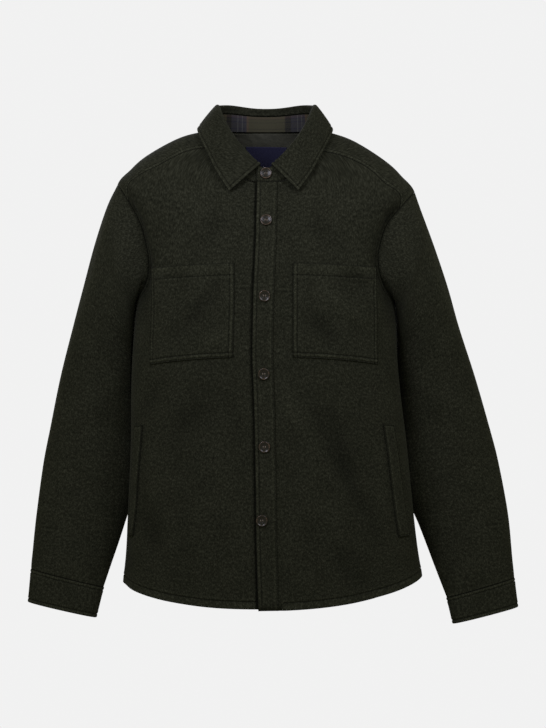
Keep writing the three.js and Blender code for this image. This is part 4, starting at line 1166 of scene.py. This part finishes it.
def sleeve_points(side, sections, down, columns):
    """Points of a sleeve: smooth curves from the armhole seam through the sections, less hollows.

    Below the armpit they are moved out where they would come closer to the body than the clearance.
    """
    seam_angle, seam_level, around = armhole_seam(side, columns)
    rings = [body_out(seam_angle, seam_level, 0)[0]]
    rings += [section_ring(section, around) for section in sections]
    points = curve(np.array(rings), down)
    inwards = np.zeros(points.shape[:2])
    for at_down, at_around, run, spread, depth in SLEEVE_HOLLOWS:
        away = turned_angle(around - at_around)[None] / spread
        along = (down[:, None] - at_down) / run
        inwards += depth * np.exp(-away ** 2) * np.exp(-along ** 2)
    x_outer, z_outer, x_inner, z_inner, _, behind = curve(sections, np.clip(down, 1, len(sections)) - 1).T
    centre = np.stack([(x_outer + x_inner) / 2, behind, (z_outer + z_inner) / 2], axis=-1)
    inward = unit(centre[:, None] - points)
    points = points + inward * (inwards * ramp(0, 1, down[:, None]))[..., None]
    body_centre, half = body_side(points)
    least = half + SLEEVE_CLEARANCE * ramp(0, 0.6, down[:, None]) + 0.5
    outward = (points[..., 0] - body_centre) * side["sign"]
    press = np.maximum(0, least - outward) * ramp(CLEAR_FROM, CLEAR_BELOW, points[..., 2])
    points[..., 0] += side["sign"] * press * (down[:, None] > 0.01)
    return points


def steps_across(points):
    """Step at each row of a grid from the row before it to the row after it."""
    return np.concatenate([points[1:2] - points[:1], points[2:] - points[:-2], points[-1:] - points[-2:-1]])


def tube_normal(points):
    """The way out of a tube: the step round it, crossed with the step along it."""
    around = np.roll(points, -1, axis=1) - np.roll(points, 1, axis=1)
    normal = unit(np.cross(around, steps_across(points)))
    centre = points.mean(axis=1, keepdims=True)
    return normal * np.sign(((points - centre) * normal).sum(-1).mean())


def turned_at_seam(side, points, normal):
    """The way out of a sleeve, turned over its first millimetres from the body's to the tube's own.

    It turns about the armhole's line, past the side on which the body's panel lies.
    """
    angle, level, _ = armhole_seam(side, points.shape[1])
    start = body_out(angle, level, 0)[1]
    along = unit(np.roll(points[0], -1, axis=0) - np.roll(points[0], 1, axis=0))
    away = unit(np.cross(along, start))
    away *= np.sign(((points[0] - points[0].mean(axis=0)) * away).sum(-1).mean())
    turn = np.arctan2((normal * away).sum(-1), (normal * start).sum(-1))
    share = ramp(0, SEAM_TURN, lengths(points, 0))
    turn = np.where(turn < -math.pi / 2, turn + 2 * math.pi, turn) * share
    turned = start * np.cos(turn)[..., None] + away * np.sin(turn)[..., None]
    return np.where(share[..., None] < 1, turned, normal)


def downs_along(side, sections, near, pitch):
    """Places down a sleeve at even distances along its mean length."""
    down = np.linspace(0, len(sections), 600)
    length = lengths(sleeve_points(side, sections, down, 24), 0).mean(axis=1)
    at = spread_out(length[-1:], near, near, pitch)[0]
    return np.interp(at, length, down)


for name, side in SIDES.items():
    sections = SLEEVE_SECTIONS[name]
    down = downs_along(side, sections, edge_lines(SEAM_ROLL, []), SLEEVE_PITCH)
    points = sleeve_points(side, sections, down, SLEEVE_COLUMNS)
    normal = turned_at_seam(side, points, tube_normal(points))
    run = lengths(points, 1)
    from_seam = np.minimum(run, run[:, -1:] - run)
    seam = UNDERARM_SEAM * np.exp(-(from_seam / UNDERARM_WIDTH) ** 2)
    piece, outer, edges = cloth_piece(
        f"sleeve_{name}_cloth", points, normal, CLOTH, sleeve_wool_painted_lighter, {}, SEAM_ROLL,
        around=True, extra=seam, centred=True,
    )
    declare_cloth(f"sleeve_{name}_wearer")

# Cuffs
# A doubled band of wool sewn to the end of each sleeve, with a row of stitches below its seam and
# one above its edge.
CUFF_ENDS = {
    "right": np.array([-382.5, -755, -273, -780, 18, 34], float),
    "left": np.array([404.5, -763, 300, -790, 18, 34], float),
}
CUFF_OUT = 0.5
CUFF_COLUMNS = 130
CUFF_PITCH = 2.6
CUFF_STITCHES = {"low": [5.5], "high": [6.0]}


def cuff_points(name, share, columns):
    """Rings of a cuff, straight from the sleeve's end to the cuff's own end."""
    top, end = SLEEVE_SECTIONS[name][-1], CUFF_ENDS[name]
    around = armhole_seam(SIDES[name], columns)[2]
    rings = np.array([section_ring(top, around, CUFF_OUT), section_ring(end, around, CUFF_OUT)])
    return rings[0] + (rings[1] - rings[0]) * share[:, None, None]


cuff_paths = []
for name in SIDES:
    length = lengths(cuff_points(name, np.array([0.0, 1.0]), 24), 0)[-1].mean()
    at = spread_out(np.array([length]), edge_lines(EDGE_ROLL, CUFF_STITCHES["low"]),
                    edge_lines(EDGE_ROLL, CUFF_STITCHES["high"]), CUFF_PITCH)[0]
    gap = SEAM_GAP / length
    points = cuff_points(name, gap + (1 - gap) * at / length, CUFF_COLUMNS)
    normal = tube_normal(points)
    piece, outer, edges = cloth_piece(
        f"cuff_{name}_cloth", points, normal, DOUBLED, sleeve_wool_painted_lighter, CUFF_STITCHES, EDGE_ROLL,
        around=True, centred=True,
    )
    declare_cloth(f"cuff_{name}_wearer")
    for edge, rows in CUFF_STITCHES.items():
        for at in rows:
            path, way = line_at(edges, edge, at, outer, normal)
            cuff_paths.append((np.vstack([path, path[:1]]), np.vstack([way, way[:1]])))
stitch_rows("cuff_stitches", cuff_paths)

# Collar stand
# A band of wool that rises from the neck seam. Its left end laps over the right one and holds the
# top button.
STAND_TOP = dict(z_front=-67.5, z_side=26, z_back=27, half_width=82, front=82.5, back=66, corner=3)
ROLL_LINE = dict(z_front=-66, z_side=37, z_back=37, half_width=74, front=79.8, back=62, corner=4)
STAND_GAP = 0.7
STAND_ENDS = (-8, 368)
STAND_STITCH = 1.8
LAP_TURN = (34, 14)


def neck_ring(ring, angle):
    """A ring round the neck: a squarish oval that falls to the front as a soft V."""
    a = np.radians(angle)
    wide = signed_power(np.sin(a), 2 / BODY_SQUARENESS)
    deep = signed_power(np.cos(a), 2 / BODY_SQUARENESS)
    depth = np.where(deep >= 0, ring["front"], ring["back"])
    rise = 0.8 * (np.hypot(wide, 0.12) - 0.12) + 0.29 * np.abs(wide) ** 5
    in_front = ring["z_front"] + (ring["z_side"] - ring["z_front"]) * rise
    behind = ring["z_side"] + (ring["z_back"] - ring["z_side"]) * -deep + ring["corner"] * np.sin(2 * a) ** 2
    z = np.where(deep >= 0, in_front, behind)
    return np.stack(np.broadcast_arrays(ring["half_width"] * wide, -depth * deep, z), axis=-1)


def stand_point(angle, share):
    """A point of the stand, at a share of the way up from the neck seam to its top."""
    low = body_point(angle, np.full(np.shape(angle), float(NECK_LEVEL)))
    high = neck_ring(STAND_TOP, angle)
    from_front = np.where(angle > 180, 360 - angle, np.abs(angle))
    lift = STAND_GAP + 0.5 * ramp(*LAP_TURN, from_front)
    low = low + unit(high - low) * lift[..., None]
    return low + (high - low) * np.broadcast_to(share, angle.shape)[..., None]


def stand_out(angle, share, out):
    """Points of the stand a distance out from its surface, with the way out; the left end laps."""
    around = stand_point(angle + 0.5, share) - stand_point(angle - 0.5, share)
    upward = stand_point(angle, 1.0) - stand_point(angle, 0.0)
    normal = unit(np.cross(around, upward))
    distance = out + LAP_OUT * ramp(*LAP_TURN, angle)
    return stand_point(angle, share) + normal * distance[..., None], normal


def stand_grid(ends, shares, out, near_lines):
    """Grid of a layer of the stand, spaced by its distance round the neck and up the band."""
    dense = np.linspace(*ends, 2001)
    run = lengths(stand_point(dense, 0.5)[None], 1)[0]
    angles = np.interp(spread_out(run[-1:], near_lines, near_lines, FINE_PITCH)[0], run, dense)
    behind = np.array([180.0])
    height = np.linalg.norm(stand_point(behind, 1.0) - stand_point(behind, 0.0))
    total = np.array([height * (shares[1] - shares[0])])
    rise = spread_out(total, near_lines, near_lines, FINE_PITCH)[0] / height + shares[0]
    return stand_out(*np.meshgrid(angles, rise), out)


points, normal = stand_grid(STAND_ENDS, (0, 1), 0.0, edge_lines(SEAM_ROLL, [STAND_STITCH]))
piece, outer, edges = cloth_piece(
    "collar_stand_cloth", points, normal, CLOTH, wool,
    {edge: [STAND_STITCH] for edge in ("low", "start", "end")}, SEAM_ROLL,
)
declare_cloth("collar_stand")
stitch_rows("stand_stitches", [
    line_at(edges, edge, STAND_STITCH, outer, normal) for edge in ("low", "start")
])

# Collar stand facing
# The inside of the stand is faced with a dark woven check of navy, olive and brown blocks.
FACING_ENDS = (32, 328)
FACING_SHARES = (0.02, 0.98)
CHECK_NAVY = (0.023, 0.023, 0.036, 1)
CHECK_DARK = (0.010, 0.010, 0.013, 1)
CHECK_OLIVE = (0.040, 0.038, 0.025, 1)
CHECK_BROWN = (0.058, 0.042, 0.032, 1)
CHECK_PALE = (0.078, 0.081, 0.086, 1)
CHECK_DEPTH = 0.0002
# Each direction of the check: its length of repeat, where it starts, and where each colour begins.
CHECK_BANDS = {
    "X": (0.100, -0.033, [
        (0.0, CHECK_DARK), (0.02, CHECK_OLIVE), (0.60, CHECK_OLIVE), (0.61, CHECK_BROWN),
        (0.635, CHECK_BROWN), (0.645, CHECK_NAVY), (0.705, CHECK_NAVY), (0.71, CHECK_PALE),
        (0.72, CHECK_NAVY), (0.78, CHECK_NAVY), (0.79, CHECK_PALE), (0.80, CHECK_NAVY),
        (0.90, CHECK_NAVY), (0.92, CHECK_DARK),
    ]),
    "Y": (0.026, 0.0, [
        (0.0, CHECK_OLIVE), (0.16, CHECK_OLIVE), (0.19, CHECK_DARK), (0.24, CHECK_OLIVE),
        (0.56, CHECK_OLIVE), (0.58, CHECK_DARK), (0.63, CHECK_OLIVE), (0.76, CHECK_OLIVE),
        (0.78, CHECK_DARK), (0.82, CHECK_BROWN), (1.0, CHECK_BROWN),
    ]),
}

check, tree, shader, place = new_material("check", 0.8)
axes = tree.nodes.new("ShaderNodeSeparateXYZ")
tree.links.new(place, axes.inputs["Vector"])
bands = []
for axis, (repeat, start, stops) in CHECK_BANDS.items():
    from_start = combine(tree, "SUBTRACT", axes.outputs[axis], start)
    share = combine(tree, "FRACT", combine(tree, "DIVIDE", from_start, repeat), 0.0)
    bands.append(ramp_colours(tree, share, stops))
weave = tree.nodes.new("ShaderNodeMix")
weave.data_type = "RGBA"
picks = noise(tree, place, 900)
over_under = ramp_colours(tree, picks, [(0.42, (0.15, 0.15, 0.15, 1)), (0.58, (0.55, 0.55, 0.55, 1))])
tree.links.new(over_under, weave.inputs["Factor"])
tree.links.new(bands[0], weave.inputs["A"])
tree.links.new(bands[1], weave.inputs["B"])
tree.links.new(weave.outputs["Result"], shader.inputs["Base Color"])
raise_surface(tree, shader, picks, CHECK_DEPTH)

points, normal = stand_grid(FACING_ENDS, FACING_SHARES, LINING_OUT, edge_lines(LINING_ROLL, []))
piece, outer, edges = cloth_piece(
    "collar_facing_cloth", points, normal, LINING, check, {}, LINING_ROLL, centred=True,
)
declare_cloth("collar_stand_facing")

# Collar fall
# The turned-down leaf, one piece with pointed ends. It rises from the stand, rolls over and lies on
# the shoulders, and is stitched 6 mm from its edge.
FALL = 2.5
FALL_ENDS = (4.5, 355.5)
FALL_STITCH = 6.0
FALL_FOOT_STITCH = 34
FALL_PUFF = 1.6
# The outer edge of the leaf on each side, from the front to the back: angle, x, y and z.
FALL_EDGE = {
    "left": np.array([
        [4.5, 50.5, -99, -103.5], [30, 70, -82, -76], [50, 87, -59, -45], [70, 101, -30, -17],
        [90, 107, 2, 1], [120, 97, 44, 0], [150, 57, 72, -3], [180, 0, 80, -5],
    ], float),
    "right": np.array([
        [4.5, -57.5, -99, -104.5], [30, -77, -81, -74], [50, -92, -59, -43], [70, -105, -30, -15],
        [90, -110, 2, 2], [120, -99, 44, 1], [150, -58, 72, -3], [180, 0, 80, -5],
    ], float),
}


def fall_edge(angle):
    """The outer edge of the leaf, a smooth curve through its table on each side."""
    turned = np.where(angle <= 180, angle, 360 - angle)
    halves = []
    for table in FALL_EDGE.values():
        at = np.interp(turned, table[:, 0], np.arange(len(table)))
        halves.append(curve(table[:, 1:], at))
    return np.where((angle <= 180)[..., None], halves[0], halves[1])


def fall_rows(angle):
    """Seven rings of the leaf: its foot, up the inside, over the roll and down to the edge."""
    a = np.radians(angle)
    out = np.stack([np.sin(a), -np.cos(a), np.zeros_like(a)], axis=-1)
    up = np.array([0.0, 0.0, 1.0])
    over_lap = ramp(342, 350, angle)
    at_front = ramp(30, 6, np.where(angle > 180, 360 - angle, angle))
    foot = stand_out(angle, 1.0, -CLOTH - 0.4)[0] + up * (STAND_GAP + over_lap)[..., None]
    inside = neck_ring(ROLL_LINE, angle)
    inside[..., 2] = np.maximum(inside[..., 2], foot[..., 2] + 3.2 - 2.4 * at_front)
    inside = inside + out * (LAP_OUT * (ramp(*LAP_TURN, angle) + over_lap))[..., None]
    over = inside + out * 3.4 + up * (3 - 1.4 * at_front)[..., None]
    outside = inside + out * 7.6 + up * (0.6 - 0.4 * at_front)[..., None]
    rows = [foot, inside, over, outside]
    edge = fall_edge(angle)
    for share in (0.3, 0.65, 1):
        puff = FALL_PUFF * math.sin(share * math.pi)
        rows.append(outside + (edge - outside) * share + out * puff)
    return np.array(rows)


dense = np.linspace(*FALL_ENDS, 1201)
run = lengths(fall_rows(dense)[4:5], 1)[0]
stitch_lines = edge_lines(EDGE_ROLL, [FALL_STITCH])
angles = np.interp(spread_out(run[-1:], stitch_lines, stitch_lines, FINE_PITCH)[0], run, dense)
rings = fall_rows(angles)
at = np.linspace(0, len(rings) - 1, 241)
fine = curve(rings, at)
climb = lengths(fine, 0).T
rows = spread_out(climb[:, -1], edge_lines(SEAM_ROLL, []), stitch_lines, FINE_PITCH)
row_at = read_back(rows, climb, np.broadcast_to(at, climb.shape)).T
points = np.stack([along_path(row_at[:, j], at, fine[:, j]) for j in range(len(angles))], axis=1)
around = steps_across(points.swapaxes(0, 1)).swapaxes(0, 1)
normal = -unit(np.cross(around, steps_across(points)))
piece, outer, edges = cloth_piece(
    "collar_fall_cloth", points, normal, FALL, wool,
    {edge: [FALL_STITCH] for edge in ("start", "end", "high")}, EDGE_ROLL,
)
declare_cloth("collar_fall")
fall_paths = []
for edge in ("start", "end", "high"):
    path, way = line_at(edges, edge, FALL_STITCH, outer, normal)
    ends = lengths(path[None], 1)[0]
    low_end = FALL_STITCH if edge == "high" else FALL_FOOT_STITCH
    keep = (ends >= low_end) & (ends <= ends[-1] - FALL_STITCH)
    fall_paths.append((path[keep], way[keep]))
stitch_rows("collar_stitches", fall_paths)

# Buttons
# Six dark brown horn-like buttons, 18 mm across, with a raised rim, a dished middle and four holes,
# sewn on with brown thread. The top one is on the stand, the others on the front band.
BUTTON_RADIUS = 9.0
# Radius and height of points from the middle of the top, over the rim, to the middle of the base.
BUTTON_PROFILE = np.array([
    [0.0, 1.75], [1.5, 1.78], [3.2, 1.9], [5.2, 2.15], [6.4, 2.35], [7.2, 2.8], [7.9, 3.0],
    [8.5, 2.9], [8.9, 2.4], [9.0, 1.7], [8.8, 1.0], [8.2, 0.5], [7.0, 0.15], [3.0, 0.0], [0.0, 0.0],
])
HOLE_OFFSET = 1.7
HOLE_RADIUS = 0.85
HOLE_DEPTH = 1.4
HOLE_SLOPE = 0.25
WELL_END = 7
BUTTON_SEAT = 0.5
BUTTON_PLACES = [(0.3, -152), (-2.1, -268), (-3.2, -388), (-2.4, -501), (-6.2, -615)]
STAND_BUTTON_SHARE = 0.61
# RIM_LIGHT paints a highlight round the rim and DISH_SHADE paints shade in the dish.
RIM_LIGHT, RIM_RADIUS, RIM_WIDTH = 3.0, 7.9, 0.8
DISH_SHADE, DISH_RADIUS, DISH_WIDTH = 0.7, 5.2, 1.7
BUTTON_THREAD_COLOUR = (0.12, 0.10, 0.08, 1)
STRAND_RADIUS = 0.2
STRAND_STEP = 0.36
STRAND_POINTS = 13
STRAND_SIDES = 6
STRAND_FOOT = 1.0
STRAND_RISE = 1.35
HORN_TONES = [(0.0030, 0.0020, 0.0016, 1), (0.0075, 0.0048, 0.0034, 1), (0.020, 0.012, 0.008, 1)]

horn = bpy.data.materials.new("horn")
horn.use_nodes = True
tree = horn.node_tree
shader = tree.nodes["Principled BSDF"]
shader.inputs["Roughness"].default_value = 0.28
shader.inputs["Specular IOR Level"].default_value = 0.3
shader.inputs["Coat Weight"].default_value = 0.15
shader.inputs["Coat Roughness"].default_value = 0.12
place = tree.nodes.new("ShaderNodeTexCoord").outputs["Object"]
streak = noise(tree, place, 160, 4.0, (1, 1, 3))
horn_colour = ramp_colours(tree, streak, list(zip((0.38, 0.52, 0.68), HORN_TONES)))
tree.links.new(by_painted_shading(tree, horn_colour), shader.inputs["Base Color"])

button_thread = bpy.data.materials.new("button_thread")
button_thread.use_nodes = True
shader = button_thread.node_tree.nodes["Principled BSDF"]
shader.inputs["Base Color"].default_value = BUTTON_THREAD_COLOUR
shader.inputs["Roughness"].default_value = 0.7


def button_points():
    """A turned button: its profile swept round, with four round wells sunk in the middle."""
    at = np.linspace(0, len(BUTTON_PROFILE) - 1, 71)
    profile = curve(BUTTON_PROFILE, at)
    profile[:, 0] = np.clip(profile[:, 0], 0, BUTTON_RADIUS)
    profile[[0, -1], 0] = 0
    turn = np.linspace(0, 2 * np.pi, 72, endpoint=False)
    radius, height = profile[:, :1], profile[:, 1:]
    x = radius * np.cos(turn)
    z = radius * np.sin(turn)
    y = height + 0 * x
    upper = at[:, None] < WELL_END
    for hole_x, hole_z in ((1, 1), (1, -1), (-1, 1), (-1, -1)):
        away = np.hypot(x - hole_x * HOLE_OFFSET, z - hole_z * HOLE_OFFSET)
        y = y - HOLE_DEPTH * ramp(HOLE_RADIUS + HOLE_SLOPE, HOLE_RADIUS - HOLE_SLOPE, away) * upper
    return np.stack([x, y, z], axis=-1)


def place_on(points, seat, normal):
    """Turns points whose own way up is Y so that it lies along the normal, and seats them."""
    up = unit(normal)
    across = unit(np.cross(up, np.array([0.0, 0.0, 1.0])))
    third = np.cross(across, up)
    return seat + points[..., :1] * across + points[..., 1:2] * up + points[..., 2:] * third


def grid_triangles(index):
    """Two triangles for each cell of a grid of point numbers."""
    a, b, c, d = index[:-1, :-1], index[1:, :-1], index[1:, 1:], index[:-1, 1:]
    cells = np.stack([a, b, c, d], axis=-1).reshape(-1, 4)
    return np.vstack([cells[:, [0, 1, 2]], cells[:, [0, 2, 3]]])


def button_mesh(name, seat, normal):
    """A button on its seat, with a painted highlight round the rim and painted shade in the dish."""
    ring = button_points()
    rows, columns = ring.shape[:2]
    index = 2 + np.arange((rows - 2) * columns).reshape(rows - 2, columns)
    index = np.hstack([index, index[:, :1]])
    ends = np.stack([ring[0, 0], ring[-1, 0]])
    points = np.vstack([ends, ring[1:-1].reshape(-1, 3)])
    cap = np.stack([np.zeros(columns, int), index[0, 1:], index[0, :-1]], axis=1)
    base = np.stack([np.ones(columns, int), index[-1, :-1], index[-1, 1:]], axis=1)
    triangles = np.vstack([grid_triangles(index)[:, ::-1], cap, base])
    from_middle = np.hypot(points[:, 0], points[:, 2])
    painted_shading = RIM_LIGHT * np.exp(-((from_middle - RIM_RADIUS) / RIM_WIDTH) ** 2)
    painted_shading -= DISH_SHADE * np.exp(-((from_middle - DISH_RADIUS) / DISH_WIDTH) ** 2)
    placed = place_on(points, seat, normal)
    corners = placed[triangles]
    volume = (corners[:, 0] * np.cross(corners[:, 1], corners[:, 2])).sum()
    if volume < 0:
        triangles = triangles[:, ::-1]
    return make_mesh(name, placed, triangles, horn, painted_shading=painted_shading)


def thread_bars(name, seat, normal):
    """Thread between the holes: two bundles of three strands that arch from hole to hole."""
    share = np.linspace(0, 1, STRAND_POINTS)
    turn = np.radians(np.arange(STRAND_SIDES) * 360 / STRAND_SIDES)[:, None]
    height = STRAND_FOOT + STRAND_RISE * np.sin(np.pi * share) ** 0.6
    parts = []
    for side_x in (-1, 1):
        for strand in (-STRAND_STEP, 0, STRAND_STEP):
            x = side_x * HOLE_OFFSET + strand
            path = np.stack([np.full(STRAND_POINTS, x), height, HOLE_OFFSET * (2 * share - 1)], axis=-1)
            along = unit(np.gradient(path, axis=0))
            aside = np.broadcast_to([1.0, 0.0, 0.0], along.shape)
            over = np.cross(aside, along)
            ring = np.cos(turn) * aside[:, None] + np.sin(turn) * over[:, None]
            parts.append(path[:, None] + STRAND_RADIUS * ring)
    points = np.array(parts)
    count, rows, columns = points.shape[:3]
    index = np.arange(rows * columns).reshape(rows, columns)
    index = np.hstack([index, index[:, :1]])
    last = (rows - 1) * columns
    caps = [[0, k + 1, k] for k in range(1, columns - 1)]
    ends = [[last, last + k, last + k + 1] for k in range(1, columns - 1)]
    one = np.vstack([grid_triangles(index), caps, ends])
    faces = (one[None] + rows * columns * np.arange(count)[:, None, None]).reshape(-1, 3)
    return make_mesh(name, place_on(points.reshape(-1, 3), seat, normal), faces, button_thread)


def level_at(x, z):
    """The level at which the front passes a height at a given x."""
    levels = np.linspace(0, NECK_LEVEL - 0.5, 4000)
    heights = body_point(angle_at_x(x, levels), levels)[:, 2]
    return float(np.interp(z, heights, levels))


seats = [stand_out(np.array([0.0]), STAND_BUTTON_SHARE, BUTTON_SEAT)]
for x, z in BUTTON_PLACES:
    level = np.array([level_at(x, z)])
    seats.append(body_out(angle_at_x(x, level), level, BAND_OUT + BUTTON_SEAT))
for number, (seat, normal) in enumerate(seats, 1):
    button = button_mesh(f"horn_button_{number}", seat[0], normal[0])
    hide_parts(f"button_{number}")
    bars = thread_bars(f"button_thread_{number}", seat[0], normal[0])
